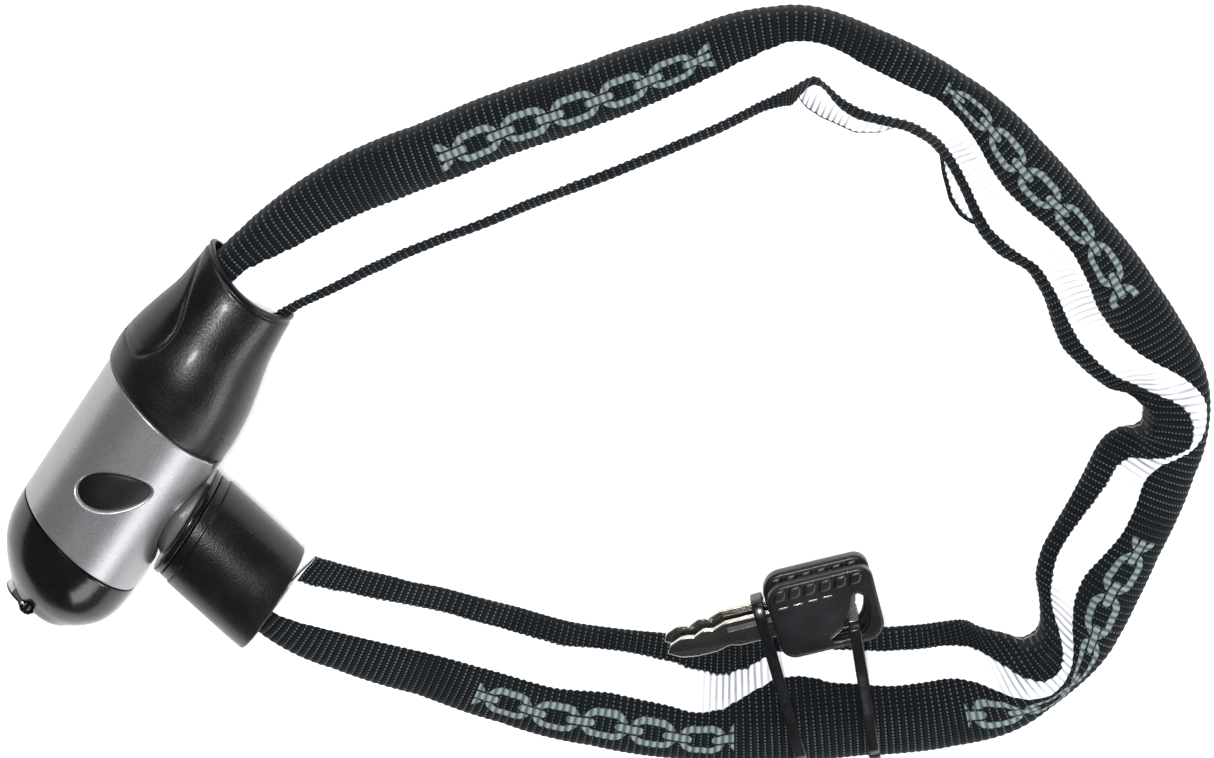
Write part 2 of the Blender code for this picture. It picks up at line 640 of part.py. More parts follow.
def hang_stretches():
    """Each stretch of the loop turns about the junction with the stretch before it."""
    ends = CUT_LINKS[1:] + (LINKS,)
    extra = ["key_1_blade", "key_1_head", "key_2_blade", "key_2_head", "cable_tie_1", "cable_tie_2"]
    for index, (first, last) in enumerate(zip(CUT_LINKS, ends)):
        names = ["chain_link_%02d" % (link + 1) for link in range(first, last)]
        names.append("sleeve_%d" % (index + 2))
        if last == LINKS:
            names += extra
        hang("hinge_%d" % (index + 1), Matrix.Translation(Vector(joints[first]) * MM), names)


empty_scene()
parts = new_collection("chain_lock")
cutters = new_collection("cutters")
pivots = new_collection("pivots")
silver = finish_of("silver_paint", (0.62, 0.63, 0.65), 0.35, 0.85)
moulded_black = finish_of("moulded_black", (0.012, 0.012, 0.014), 0.35, 0)
gloss_black = finish_of("gloss_black", (0.01, 0.01, 0.011), 0.2, 0)
matte_black = finish_of("matte_black", (0.008, 0.008, 0.009), 0.55, 0)
steel = finish_of("steel", (0.55, 0.55, 0.56), 0.3, 1)
chain_steel = finish_of("chain_steel", (0.35, 0.35, 0.36), 0.45, 1)
brass = finish_of("brass", (0.75, 0.6, 0.32), 0.3, 1)
nickel = finish_of("nickel", (0.68, 0.66, 0.62), 0.25, 1)
webbing = finish_of("webbing", (0.015, 0.017, 0.025), 0.85, 0)
nylon = finish_of("nylon", (0.01, 0.01, 0.012), 0.3, 0)
LINK_SIDES = [1 if index % 2 else -1 for index in range(LINKS)]
barrel = lock_frame()
plug_place = plug_frame(barrel)
line = chain_route(barrel, plug_place)
joints = junctions(line)

shell(barrel, plug_place)
oval_inlay(barrel)
casting(barrel, plug_place)
end_cap(barrel)
key_cylinder(barrel)
locking_bolt(barrel)
shutter(barrel)
chain_boot(barrel)
plug_pieces(plug_place)
chain()
sleeve(line)
keys()
ties()
hang_stretches()
for part in parts.objects:
    smooth(part.data)
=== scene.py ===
import math

import bmesh
import bpy
import numpy as np
from mathutils import Matrix, Vector


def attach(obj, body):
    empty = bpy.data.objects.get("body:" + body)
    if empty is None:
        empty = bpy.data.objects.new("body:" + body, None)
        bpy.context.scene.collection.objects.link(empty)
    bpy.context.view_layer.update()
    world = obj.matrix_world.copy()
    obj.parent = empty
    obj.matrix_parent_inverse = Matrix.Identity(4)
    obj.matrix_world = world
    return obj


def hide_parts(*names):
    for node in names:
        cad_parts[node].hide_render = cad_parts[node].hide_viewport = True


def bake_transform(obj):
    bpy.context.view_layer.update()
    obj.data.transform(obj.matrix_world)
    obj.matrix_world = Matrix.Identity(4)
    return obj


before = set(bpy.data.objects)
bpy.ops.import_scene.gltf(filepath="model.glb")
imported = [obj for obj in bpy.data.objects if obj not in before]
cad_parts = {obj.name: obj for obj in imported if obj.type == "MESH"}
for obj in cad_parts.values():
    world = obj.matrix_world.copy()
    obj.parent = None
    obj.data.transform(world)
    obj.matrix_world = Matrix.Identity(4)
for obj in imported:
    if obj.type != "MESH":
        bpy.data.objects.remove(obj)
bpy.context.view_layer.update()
scene = bpy.context.scene
mm = 0.001  # lengths below are in millimetres
upwards = np.array([0, 0, 1.0])
middleShift = (3.1, 3.2)  # the routes and ties were laid out this far from the part's middle


def turnedFrame(origin, acrossAxis, alongAxis):
    # Columns: across, up, along, then the origin.
    place = np.eye(4)
    place[:3, 0] = acrossAxis
    place[:3, 1] = (0, 0, 1)
    place[:3, 2] = alongAxis
    place[:3, 3] = origin
    return place


# the barrel's joint lines stand a little off square to it, so the two directions are set apart
alongBarrel = np.array([0.559, 0.829, 0])
acrossBarrel = np.array([-0.714, 0.712, 0])
lockOrigin = np.array([-153.0, -38.5, 22.0])
lockFrame = turnedFrame(lockOrigin, acrossBarrel, alongBarrel)
plugPlace = 25.9  # along the barrel
plugFrame = turnedFrame(lockOrigin + plugPlace * alongBarrel, alongBarrel, -acrossBarrel)


def inFrame(place, points):
    # each point's three places times the frame's three directions, plus its origin
    points = np.asarray(points, float)
    return points @ place[:3, :3].T + place[:3, 3]


def smoothStep(x, low, high):
    # 0 below low and 1 above high, with 3t² − 2t³ between them
    t = np.clip((x - low) / (high - low), 0, 1)
    return t * t * (3 - 2 * t)


def softMin(a, b, width):
    # The smaller of two fields, rounded over a width where they cross.
    h = np.clip(0.5 + 0.5 * (b - a) / width, 0, 1)
    return b * (1 - h) + a * h - width * h * (1 - h)


def squarish(wave, power):
    # the wave's sign times its size to a power; below 1, sine and cosine then draw a rounded square
    return np.sign(wave) * np.abs(wave) ** power


def gridFaces(rows, columns, wrapRows=False):
    # Quads over a grid of points whose columns close on themselves, as its rows do where asked.
    i = np.arange(rows if wrapRows else rows - 1)[:, None]
    j = np.arange(columns)[None, :]
    nextI, nextJ = (i + 1) % rows, (j + 1) % columns
    corners = [i * columns + j, i * columns + nextJ, nextI * columns + nextJ, nextI * columns + j]
    return np.stack([c + 0 * (i + j) for c in corners], axis=-1).reshape(-1, 4)


def ringFaces(rows, columns):
    # Faces of a tube of rings with both ends closed.
    faces = gridFaces(rows, columns).tolist()
    faces.append(list(range(columns)))
    faces.append(list(range(rows * columns - columns, rows * columns))[::-1])
    return faces


def addPiece(name, points, faces, finish, body=None, replaces=(), uv=None, sharp=40, weld=0.0):
    # Puts a mesh given in millimetres into the scene as a finished piece.
    mesh = bpy.data.meshes.new(name)
    faces = faces.tolist() if isinstance(faces, np.ndarray) else faces
    mesh.from_pydata((np.asarray(points).reshape(-1, 3) * mm).tolist(), [], faces)
    if uv is not None:
        layer = mesh.uv_layers.new(name="UVMap")
        corner = np.empty(len(mesh.loops), int)
        mesh.loops.foreach_get("vertex_index", corner)
        layer.data.foreach_set("uv", np.asarray(uv, float).reshape(-1, 2)[corner].ravel())
    return finishPiece(name, mesh, finish, body, replaces, sharp, weld)


def finishPiece(name, mesh, finish, body=None, replaces=(), sharp=40, weld=0.0):
    # merges doubled points, turns the faces outwards, gives the finish and says what the piece rides on
    shape = bmesh.new()
    shape.from_mesh(mesh)
    if weld:
        bmesh.ops.remove_doubles(shape, verts=shape.verts, dist=weld * mm)
    bmesh.ops.recalc_face_normals(shape, faces=shape.faces)
    shape.to_mesh(mesh)
    shape.free()
    mesh.shade_smooth()
    mesh.set_sharp_from_angle(angle=math.radians(sharp))
    mesh.materials.clear()
    for material in finish if isinstance(finish, (list, tuple)) else [finish]:
        mesh.materials.append(material)
    piece = bpy.data.objects.new(name, mesh)
    scene.collection.objects.link(piece)
    if body:
        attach(piece, body)
    if replaces:
        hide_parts(*replaces)
    return piece


def arcPoints(centre, radius, start, end, count):
    # centre plus radius times cosine and sine, from the start to the end angle in degrees
    angles = np.radians(np.linspace(start, end, count))
    return np.stack([centre[0] + radius * np.cos(angles), centre[1] + radius * np.sin(angles)], axis=1)


def throughPoints(points, spacing, closed=False):
    # A Catmull-Rom curve through the points, read at an even spacing along its first three columns.
    points = np.asarray(points, float)
    if closed:
        padded = np.vstack([points[-1:], points, points[:2]])
    else:
        padded = np.vstack([2 * points[0] - points[1], points, 2 * points[-1] - points[-2]])
    a, b, c, d = padded[:-3, None], padded[1:-2, None], padded[2:-1, None], padded[3:, None]
    t = np.linspace(0, 1, 16, False)[None, :, None]
    fine = (2 * b + (c - a) * t + (2 * a - 5 * b + 4 * c - d) * t**2 + (3 * b - a - 3 * c + d) * t**3) / 2
    fine = fine.reshape(-1, points.shape[1])
    fine = np.vstack([fine, points[:1] if closed else points[-1:]])
    steps = np.linalg.norm(np.diff(fine[:, :3], axis=0), axis=1)
    along = np.concatenate([[0], np.cumsum(steps)])
    places = np.linspace(0, along[-1], max(3, round(along[-1] / spacing) + 1))
    read = np.stack([np.interp(places, along, column) for column in fine.T], axis=1)
    return read[:-1] if closed else read


def turnedPoints(profile, steps):
    # A profile of radius and height turned around Z: radius·cos, radius·sin, height.
    profile = np.asarray(profile, float)
    angles = np.linspace(0, 2 * math.pi, steps, False)
    x = profile[:, :1] * np.cos(angles)
    y = profile[:, :1] * np.sin(angles)
    z = profile[:, 1:] + 0 * x
    return np.stack([x, y, z], axis=-1)


def roundedProfile(corners, radius):
    # Corners of an outline, each rounded by cutting it back and bending through it.
    corners = np.asarray(corners, float)
    before, after = np.roll(corners, 1, 0), np.roll(corners, -1, 0)
    toBefore, toAfter = before - corners, after - corners
    longBefore = np.linalg.norm(toBefore, axis=1, keepdims=True)
    longAfter = np.linalg.norm(toAfter, axis=1, keepdims=True)
    cutBack = np.minimum(radius, np.minimum(longBefore, longAfter) * 0.45)  # never half a side
    start = corners + toBefore / longBefore * cutBack
    end = corners + toAfter / longAfter * cutBack
    t = np.linspace(0, 1, 5)[None, :, None]
    curve = (1 - t) ** 2 * start[:, None] + 2 * t * (1 - t) * corners[:, None] + t**2 * end[:, None]
    return curve.reshape(-1, corners.shape[1])


def newMaterial(name, color, roughness, metallic=0.0):
    # one colour, roughness and share of metal
    material = bpy.data.materials.new(name)
    material.use_nodes = True
    shader = material.node_tree.nodes["Principled BSDF"]
    shader.inputs["Base Color"].default_value = (*color, 1)
    shader.inputs["Roughness"].default_value = roughness
    shader.inputs["Metallic"].default_value = metallic
    return material, material.node_tree, shader


def put(tree, kind, inputs=None, **settings):
    # Adds a node; inputs are numbers, colours or sockets, by index or name.
    node = tree.nodes.new(kind)
    for key, value in settings.items():
        setattr(node, key, value)
    for key, value in (inputs or {}).items():
        if isinstance(value, bpy.types.NodeSocket):
            tree.links.new(value, node.inputs[key])
        elif value is not None:
            node.inputs[key].default_value = value
    return node


def calc(tree, operation, *values):
    # one sum on the values, worked out by the shader
    return put(tree, "ShaderNodeMath", dict(enumerate(values)), operation=operation).outputs[0]


def ramp(tree, value, low, high, fromMin=0.0, fromMax=1.0, smooth=False):
    # low to high as the value goes over its own range, held at both ends
    inputs = {0: value, 1: fromMin, 2: fromMax, 3: low, 4: high}
    kind = "SMOOTHSTEP" if smooth else "LINEAR"
    return put(tree, "ShaderNodeMapRange", inputs, interpolation_type=kind).outputs[0]


def mixColor(tree, share, first, second):
    # first times one less the share, plus second times the share
    inputs = {0: share, 6: first, 7: second}
    return put(tree, "ShaderNodeMix", inputs, data_type="RGBA").outputs[2]


def noiseOf(tree, place, scale, detail=2.0, roughness=0.5):
    # cloudy noise about 0.5, finer as the scale grows
    inputs = {"Vector": place, "Scale": scale, "Detail": detail, "Roughness": roughness}
    return put(tree, "ShaderNodeTexNoise", inputs).outputs[0]


def objectPlace(tree):
    # the point's place on the piece, in metres
    return put(tree, "ShaderNodeTexCoord").outputs["Object"]


def addBump(tree, shader, height, strength, distance):
    # tips the surface by the slope of the height
    bump = put(tree, "ShaderNodeBump", {"Height": height, "Strength": strength, "Distance": distance})
    tree.links.new(bump.outputs[0], shader.inputs["Normal"])


def grainedPlastic(name, color, roughness, grain, scale, wear, coat=0.0):
    # Moulded plastic: a fine pebbled grain, patchy gloss and a dusty tint.
    material, tree, shader = newMaterial(name, color, roughness)
    shader.inputs["Specular IOR Level"].default_value = 0.32
    shader.inputs["Coat Weight"].default_value = coat
    shader.inputs["Coat Roughness"].default_value = 0.12
    place = objectPlace(tree)
    pebbles = noiseOf(tree, place, scale, 2.0, 0.6)
    patches = noiseOf(tree, place, 70.0, 3.0, 0.55)
    rough = calc(tree, "ADD", ramp(tree, patches, roughness - wear, roughness + wear, 0.3, 0.7),
                 ramp(tree, pebbles, -0.06, 0.06, 0.3, 0.7))
    tree.links.new(rough, shader.inputs["Roughness"])
    dust = tuple(min(1.0, c * 2.2 + 0.006) for c in color)
    tint = mixColor(tree, ramp(tree, patches, 0.0, 0.5, 0.4, 0.8), (*color, 1), (*dust, 1))
    tree.links.new(tint, shader.inputs["Base Color"])
    addBump(tree, shader, pebbles, grain, 0.0002)
    return material


def brushedMetal(name, color, roughness, streak, scale=900.0):
    # Machined metal: fine streaks along one direction, with patches of duller metal.
    material, tree, shader = newMaterial(name, color, roughness, 1.0)
    place = put(tree, "ShaderNodeMapping", {"Vector": objectPlace(tree), "Scale": streak}).outputs[0]
    lines = noiseOf(tree, place, scale, 3.0, 0.6)
    patches = noiseOf(tree, objectPlace(tree), 120.0, 3.0)
    tree.links.new(ramp(tree, lines, roughness * 0.7, roughness * 1.5, 0.3, 0.7), shader.inputs["Roughness"])
    dull = tuple(c * 0.72 for c in color)
    tint = mixColor(tree, ramp(tree, patches, 0.0, 1.0, 0.35, 0.7), (*color, 1), (*dull, 1))
    tree.links.new(tint, shader.inputs["Base Color"])
    addBump(tree, shader, lines, 0.15, 0.0001)
    return material


print("materials")

silverPaint, tree, shader = newMaterial("silverPaint", (0.4, 0.405, 0.42), 0.36, 0.7)
place = objectPlace(tree)
flakes = noiseOf(tree, place, 3600.0, 2.0, 0.7)
clouds = noiseOf(tree, place, 220.0, 2.0)
share = ramp(tree, flakes, 0.0, 1.0, 0.32, 0.68)
speckled = mixColor(tree, share, (0.27, 0.275, 0.285, 1), (0.4, 0.405, 0.415, 1))
tree.links.new(speckled, shader.inputs["Base Color"])
rough = calc(tree, "ADD", ramp(tree, flakes, 0.27, 0.4, 0.35, 0.65), ramp(tree, clouds, -0.03, 0.03))
tree.links.new(rough, shader.inputs["Roughness"])
addBump(tree, shader, flakes, 0.22, 0.0001)

mouldedBlack = grainedPlastic("mouldedBlack", (0.0035, 0.0035, 0.0045), 0.34, 0.4, 1500.0, 0.05, 0.08)
glossBlack = grainedPlastic("glossBlack", (0.003, 0.003, 0.004), 0.22, 0.1, 1800.0, 0.04, 0.2)
matteBlack = grainedPlastic("matteBlack", (0.004, 0.003, 0.004), 0.45, 0.3, 2200.0, 0.05)
keyBlack = grainedPlastic("keyBlack", (0.006, 0.0065, 0.008), 0.36, 0.35, 1800.0, 0.06, 0.05)
nylonBlack = grainedPlastic("nylonBlack", (0.005, 0.005, 0.006), 0.26, 0.15, 900.0, 0.05, 0.2)
machinedSteel = brushedMetal("machinedSteel", (0.5, 0.5, 0.51), 0.3, (1, 1, 14))
# painted shade: the casting shows only in the gap round the plug, and its steel is made dark to stand for
# the shade in the scoop's recess
darkSteel = brushedMetal("darkSteel", (0.09, 0.09, 0.1), 0.35, (1, 14, 1))
chainSteel = brushedMetal("chainSteel", (0.33, 0.33, 0.34), 0.42, (6, 6, 1), 500.0)
yellowBrass = brushedMetal("yellowBrass", (0.72, 0.56, 0.28), 0.3, (1, 1, 14))
# the blade's metal in two copies: a dark one for its flat faces as painted shade, and a pale one for its
# edges as a painted highlight
bladeFlatShade = brushedMetal("bladeFlatShade", (0.13, 0.125, 0.12), 0.24, (2, 18, 1))
bladeEdgeHighlight = brushedMetal("bladeEdgeHighlight", (0.86, 0.83, 0.74), 0.16, (10, 2, 1))

for node, finish in {
    "lock_casting": darkSteel, "anchor_pin": machinedSteel, "plug_pin": machinedSteel,
    "plug_link_pin": machinedSteel, "cylinder_housing": machinedSteel, "cylinder_core": yellowBrass,
    "drive_cam": machinedSteel, "locking_bolt": machinedSteel, "shutter_pin": machinedSteel,
    "keyhole_shutter": glossBlack,
}.items():
    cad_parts[node].data.materials.clear()
    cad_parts[node].data.materials.append(finish)
for number in range(1, 28):
    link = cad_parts["chain_link_%02d" % number]
    link.data.materials.clear()
    link.data.materials.append(chainSteel)

cameraSettings = {"target": (3.1, 3.2, 0.0), "distance": 1000.0, "tilt": 17.0, "lens": 98.85}
tilt = math.radians(cameraSettings["tilt"])
cameraData = bpy.data.cameras.new("camera")
cameraData.lens = cameraSettings["lens"]
cameraData.sensor_width = 36.0
cameraData.clip_end = 20.0
camera = bpy.data.objects.new("camera", cameraData)
reach = cameraSettings["distance"]
towards = Vector((0, math.sin(tilt), math.cos(tilt))) * reach
camera.location = (Vector(cameraSettings["target"]) + towards) * mm
camera.rotation_euler = (-tilt, 0, 0)
scene.collection.objects.link(camera)
scene.camera = camera

print("barrel")

shellSettings = {
    "radius": 22.0, "length": 48.0, "wall": 1.5, "edge": 0.5,
    "scoopRadius": 15.7, "scoopCentre": 28.2, "rim": 1.6,
    "ovalMiddle": (0.6, 24.4), "ovalHalf": (11.1, 5.9), "ovalDepth": 1.0,
}


def ovalField(x, y, half):
    # About how far a point is outside the oval, whose right end is a little more pointed.
    narrowing = 1 - 0.16 * x / half[0]
    return (np.sqrt((x / half[0]) ** 2 + (y / (half[1] * narrowing)) ** 2) - 1) * half[1]


def ovalOffsets(points):
    # World x and y of points given in the lock's frame, from the middle of the oval.
    s = shellSettings
    middle = inFrame(lockFrame, [[s["ovalMiddle"][0], s["radius"], s["ovalMiddle"][1]]])[0]
    world = inFrame(lockFrame, points)
    return world[..., 0] - middle[0], world[..., 1] - middle[1]


def shellRadius(angles, heights):
    # The smaller of the barrel's radius and the near side of the scoop's ball, less the oval's pocket.
    s = shellSettings
    direction = np.stack([np.cos(angles), np.sin(angles), 0 * angles], axis=-1)
    base = np.stack([0 * angles, 0 * angles, heights - plugPlace], axis=-1)
    centre = np.array([-s["scoopCentre"], 0, 0])
    half = (direction * (base - centre)).sum(-1)
    rest = ((base - centre) ** 2).sum(-1) - s["scoopRadius"] ** 2
    inside = half**2 - rest
    near = np.where((inside > 0) & (half < 0), -half - np.sqrt(np.maximum(inside, 0)), 60.0)
    radius = softMin(np.full_like(near, s["radius"]), near, s["rim"])
    where = direction * s["radius"] + np.stack([0 * angles, 0 * angles, heights], axis=-1)
    dx, dy = ovalOffsets(where)
    up = np.sin(angles) > 0
    pocket = 1 - smoothStep(ovalField(dx, dy, s["ovalHalf"]), -0.35, 0.3)
    return np.where(up, radius - s["ovalDepth"] * pocket, radius)


def makeShell():
    # rings up the outside at the shell's own radius, then down the inside; the scoop's hole is left out
    s = shellSettings
    steps, rows = 440, 150
    angles = np.linspace(0, 2 * math.pi, steps, False)[None, :]
    share = np.linspace(0, 1, rows)[:, None]
    heights = s["edge"] + share * (s["length"] - 2 * s["edge"])
    plain = heights + 0 * angles
    outside = np.maximum(shellRadius(angles + 0 * heights, plain), s["radius"] - s["wall"])
    inner = s["radius"] - s["wall"]
    rings = []
    for radius, height in ((inner, 0.0), (s["radius"] - s["edge"], 0.0), (s["radius"] - 0.15, 0.15)):
        rings.append((radius + 0 * angles[0], height + 0 * angles[0]))
    for radius, height in zip(outside, plain):
        rings.append((radius, height))
    for radius, height in ((s["radius"] - 0.15, -0.15), (s["radius"] - s["edge"], 0.0), (inner, 0.0)):
        rings.append((radius + 0 * angles[0], s["length"] + height + 0 * angles[0]))
    for radius, height in list(zip(outside, plain))[::-1]:
        rings.append((0 * radius + inner, height))
    radii = np.array([r for r, _ in rings])
    height = np.array([h for _, h in rings])
    points = np.stack([radii * np.cos(angles), radii * np.sin(angles), height], axis=-1)
    faces = gridFaces(len(rings), steps, wrapRows=True)
    low = np.abs(radii - inner).ravel() < 1e-4
    hole = np.zeros_like(radii, bool)
    hole[3 : 3 + rows] = np.abs(outside - inner) < 1e-4
    hole[-rows:] = hole[3 : 3 + rows][::-1]
    gone = hole.ravel()[faces].all(axis=1) & low[faces].all(axis=1)
    return inFrame(lockFrame, points.reshape(-1, 3)), faces[~gone]


points, faces = makeShell()
addPiece("barrelShell", points, faces, silverPaint, "lock_body", ["barrel_shell"],
         sharp=50, weld=0.02)


def makeInlay():
    # A cushion over the oval: rings shrinking to its middle, on the barrel's curve.
    s = shellSettings
    angles = np.linspace(0, 2 * math.pi, 120, False)[None, :]
    share = np.array([1.0, 1.0, 0.985, 0.95, 0.85, 0.65, 0.4, 0.2, 0.0])[:, None]
    lift = np.array([-1.6, -0.75, -0.5, -0.38, -0.3, -0.26, -0.24, -0.24, -0.24])[:, None]
    half = np.array(s["ovalHalf"]) - 0.42
    dx = half[0] * np.cos(angles) * share
    dy = half[1] * np.sin(angles) * (1 - 0.16 * np.cos(angles)) * share
    middle = inFrame(lockFrame, [[s["ovalMiddle"][0], s["radius"], s["ovalMiddle"][1]]])[0]
    world = np.stack([middle[0] + dx, middle[1] + dy, 0 * dx], axis=-1)
    square = np.array([-alongBarrel[1], alongBarrel[0], 0])
    across = (world - lockOrigin) @ square
    world[..., 2] = lockOrigin[2] + np.sqrt((s["radius"] + lift) ** 2 - across**2)
    return world


inlay = makeInlay()
faces = ringFaces(*inlay.shape[:2])
addPiece("ovalInlay", inlay, faces, matteBlack, "lock_body", ["oval_inlay"], weld=0.01)

capSettings = {
    "bore": 8.7, "facetDepth": 26.3,
    # radius and depth, from the shell to the face
    "profile": [(21.95, 0.8), (21.9, 4.0), (21.4, 8.6), (20.2, 12.8), (18.4, 16.1), (16.0, 19.2),
                (13.2, 22.0), (10.9, 24.3), (9.4, 25.4), (8.7, 25.6)],
}


def makeCap():
    # A rounded profile turned round the barrel, with flats planed off its corners.
    s = capSettings
    steps = 320
    angles = np.linspace(0, 2 * math.pi, steps, False)[None, :]
    profile = np.array(s["profile"])
    radius, depth = throughPoints(np.column_stack([profile, 0 * profile[:, 0]]), 0.35)[:, :2].T
    radius = np.concatenate([[s["bore"], 21.5, 21.85], radius, [s["bore"]]])
    depth = np.concatenate([[0.3, 0.3, 0.42], depth, [0.3]])
    outer = radius[:, None] + 0 * angles
    for side in (-1, 1):
        for up in (-1, 1):
            normal = np.array([side * 0.74, up * 0.34, -0.58])
            normal /= np.linalg.norm(normal)
            spread = normal[0] * np.cos(angles) + normal[1] * np.sin(angles)
            limit = (s["facetDepth"] + depth[:, None] * normal[2]) / np.maximum(spread, 1e-3)
            limit = np.where(spread > 0.05, limit, 90.0)
            rows = slice(3, -1)
            outer[rows] = softMin(outer[rows], np.maximum(limit[rows], s["bore"] + 1), 0.35)
    x, y = outer * np.cos(angles), outer * np.sin(angles)
    z = -depth[:, None] + 0 * x
    return np.stack([x, y, z], axis=-1)


cap = inFrame(lockFrame, makeCap())
faces = gridFaces(*cap.shape[:2], wrapRows=True)
addPiece("endCap", cap, faces, glossBlack, "lock_body", ["end_cap"], weld=0.005)

# the keyway's cover swings about the rivet, so both stand square to the turning axis
coverSettings = {
    "pivot": (-169.83, -59.1, 32.6), "axis": (0.60876, 0.79335, 0.0), "front": 0.9,
    "disc": 8.4, "discDrop": 10.6, "ear": 1.9, "thick": 0.6, "hole": 1.2,
    # the rivet's radius and height, from its foot to the top of its head
    "rivet": [(0.02, 7.0), (1.1, 7.0), (1.1, -0.3), (1.5, -0.32), (1.5, -0.42), (1.0, -0.5), (0.02, -0.52)],
}


def plateMesh(outlines, thickness, edge):
    # A flat plate with rounded edges, made from closed outlines in millimetres.
    curve = bpy.data.curves.new("outline", "CURVE")
    curve.dimensions = "2D"
    curve.fill_mode = "BOTH"
    curve.extrude = (thickness / 2 - edge) * mm
    curve.bevel_depth = edge * mm
    curve.bevel_resolution = 3
    curve.offset = -edge * mm
    for outline in outlines:
        spline = curve.splines.new("POLY")
        spline.points.add(len(outline) - 1)
        spline.use_cyclic_u = True
        flat = np.zeros((len(outline), 4))
        flat[:, :2] = np.asarray(outline) * mm
        flat[:, 3] = 1
        spline.points.foreach_set("co", flat.ravel())
    helper = bpy.data.objects.new("outline", curve)
    scene.collection.objects.link(helper)
    bpy.context.view_layer.update()
    mesh = bpy.data.meshes.new_from_object(helper.evaluated_get(bpy.context.evaluated_depsgraph_get()))
    bpy.data.objects.remove(helper)
    return mesh


def placed(mesh, place):
    # the mesh moved by a frame whose origin is in millimetres
    world = place.copy()
    world[:3, 3] *= mm
    mesh.transform(Matrix(world.tolist()))
    return mesh


def makeCover():
    # a disc with an ear about the rivet, as two arcs joined by straight sides
    s = coverSettings
    axis = np.array(s["axis"])
    across = np.array([-axis[1], axis[0], 0])
    frameOf = turnedFrame(np.array(s["pivot"]) + s["front"] * axis, across, axis)
    disc = arcPoints((0, -s["discDrop"]), s["disc"], 112, 428, 90)
    ear = arcPoints((0, 0), s["ear"], 10, 170, 16)
    hole = arcPoints((0, 0), s["hole"], 0, 345, 24)
    mesh = placed(plateMesh([np.vstack([disc, ear]), hole], s["thick"], 0.2), frameOf)
    finishPiece("keywayCover", mesh, glossBlack, "shutter", ["keyhole_shutter"], 30, 0.002)
    rivet = turnedPoints(s["rivet"], 40)
    faces = ringFaces(*rivet.shape[:2])
    rivet = inFrame(frameOf, rivet.reshape(-1, 3))
    addPiece("coverRivet", rivet, faces, glossBlack, "lock_body", ["shutter_pin"])


makeCover()

print("boots")

bootSettings = {
    # height, half width, half depth, middle across the barrel
    "stations": [
        (48.3, 22.2, 22.0, 0.3), (50.0, 22.6, 22.2, 0.4), (56.0, 22.7, 22.0, 0.5), (64.0, 21.6, 21.5, 0.3),
        (72.0, 19.7, 19.6, 0.2), (80.0, 17.7, 16.8, 0.1), (87.0, 16.8, 14.9, 0.1), (92.0, 16.4, 13.9, 0.1),
        (95.6, 16.2, 13.6, 0.0),
    ],
    "wall": 1.3, "lip": 0.5, "groove": 0.42, "dip": 2.6,
    "grip": [(26.5, 61.5), (23.7, 58.2), (20.0, 57.2), (16.5, 58.6), (13.6, 63.0), (11.6, 68.0),
             (11.4, 74.0), (13.6, 80.5), (15.8, 88.5), (18.6, 96.5)],
}


def nearLine(x, y, line):
    # Distance from each point to a bent line, over all its stretches at once.
    line = np.asarray(line, float)
    start, run = line[:-1], np.diff(line, axis=0)
    px = x[..., None] - start[:, 0]
    py = y[..., None] - start[:, 1]
    t = np.clip((px * run[:, 0] + py * run[:, 1]) / (run**2).sum(1), 0, 1)
    return np.sqrt((px - t * run[:, 0]) ** 2 + (py - t * run[:, 1]) ** 2).min(-1)


def makeBoot():
    # Ovals along the barrel whose size follows the stations, with the grip's outline pressed in.
    s = bootSettings
    steps, rows = 300, 170
    stations = np.array(s["stations"])
    none = 0 * stations[:, 0]
    line = throughPoints(np.column_stack([stations[:, 0], none, none, stations]), 0.25)[:, 3:]
    heights = np.linspace(stations[0, 0], stations[-1, 0], rows)
    wide, deep, middle = [np.interp(heights, line[:, 0], line[:, k])[:, None] for k in (1, 2, 3)]
    angles = np.linspace(0, 2 * math.pi, steps, False)[None, :]
    ends = np.minimum(heights - heights[0], heights[-1] - heights)[:, None]
    roundOff = 0.35 * (1 - np.sqrt(np.clip(1 - (1 - np.clip(ends / 0.35, 0, 1)) ** 2, 0, 1)))
    x = middle + wide * np.cos(angles)
    grip = throughPoints(np.column_stack([s["grip"], np.zeros(len(s["grip"]))]), 0.8)[:, :2]
    groove = nearLine(x, heights[:, None] + 0 * x, grip)
    top = np.sin(angles) > 0.05
    pressed = s["groove"] * np.exp(-((groove / 0.55) ** 2)) * top
    # the grip stands proud beside its outline, on the side away from the plug
    inGrip = smoothStep(x, 12.0, 15.0) * smoothStep(heights[:, None], 59.0, 62.0) * top
    lip = s["lip"] * np.exp(-(((heights[:, None] - heights[-1] + 1.6) / 0.6) ** 2))
    inset = roundOff + pressed + lip - 0.25 * inGrip
    x, y = middle + (wide - inset) * np.cos(angles), (deep - inset) * np.sin(angles)
    # the mouth's rim dips over the middle
    dip = s["dip"] * smoothStep(heights[:, None], 78, 95) * np.sin(angles) ** 2
    outside = np.stack([x, y, heights[:, None] - dip], axis=-1)
    thick = np.interp(heights, [48.3, 64, 80, 95], [2.4, 3.0, 1.9, s["wall"]])[:, None]
    x, y = middle + (wide - thick) * np.cos(angles), (deep - thick) * np.sin(angles)
    inside = np.stack([x, y, heights[:, None] - dip], axis=-1)
    return np.concatenate([outside, inside[::-1]])


boot = inFrame(lockFrame, makeBoot())
faces = gridFaces(*boot.shape[:2], wrapRows=True)
addPiece("chainBoot", boot, faces, mouldedBlack, "lock_body", ["chain_boot"])

plugSettings = {
    "radius": 17.8, "start": 25.2, "end": 58.5, "wall": 2.1, "bore": 6.3, "floor": 34.2,
    "dome": 14.0, "domeCentre": 28.2, "domeFoot": 22.2, "domeBack": 22.7, "domeHollow": 6.0,
    "ringRadius": 17.6, "ring": (23.0, 25.0),
}


def addTurned(name, outline, steps, finish, replaces):
    # a closed profile turned around the plug's line
    rings = turnedPoints(outline, steps)
    faces = gridFaces(*rings.shape[:2], wrapRows=True)
    addPiece(name, inFrame(plugFrame, rings.reshape(-1, 3)), faces, finish, "plug", replaces)


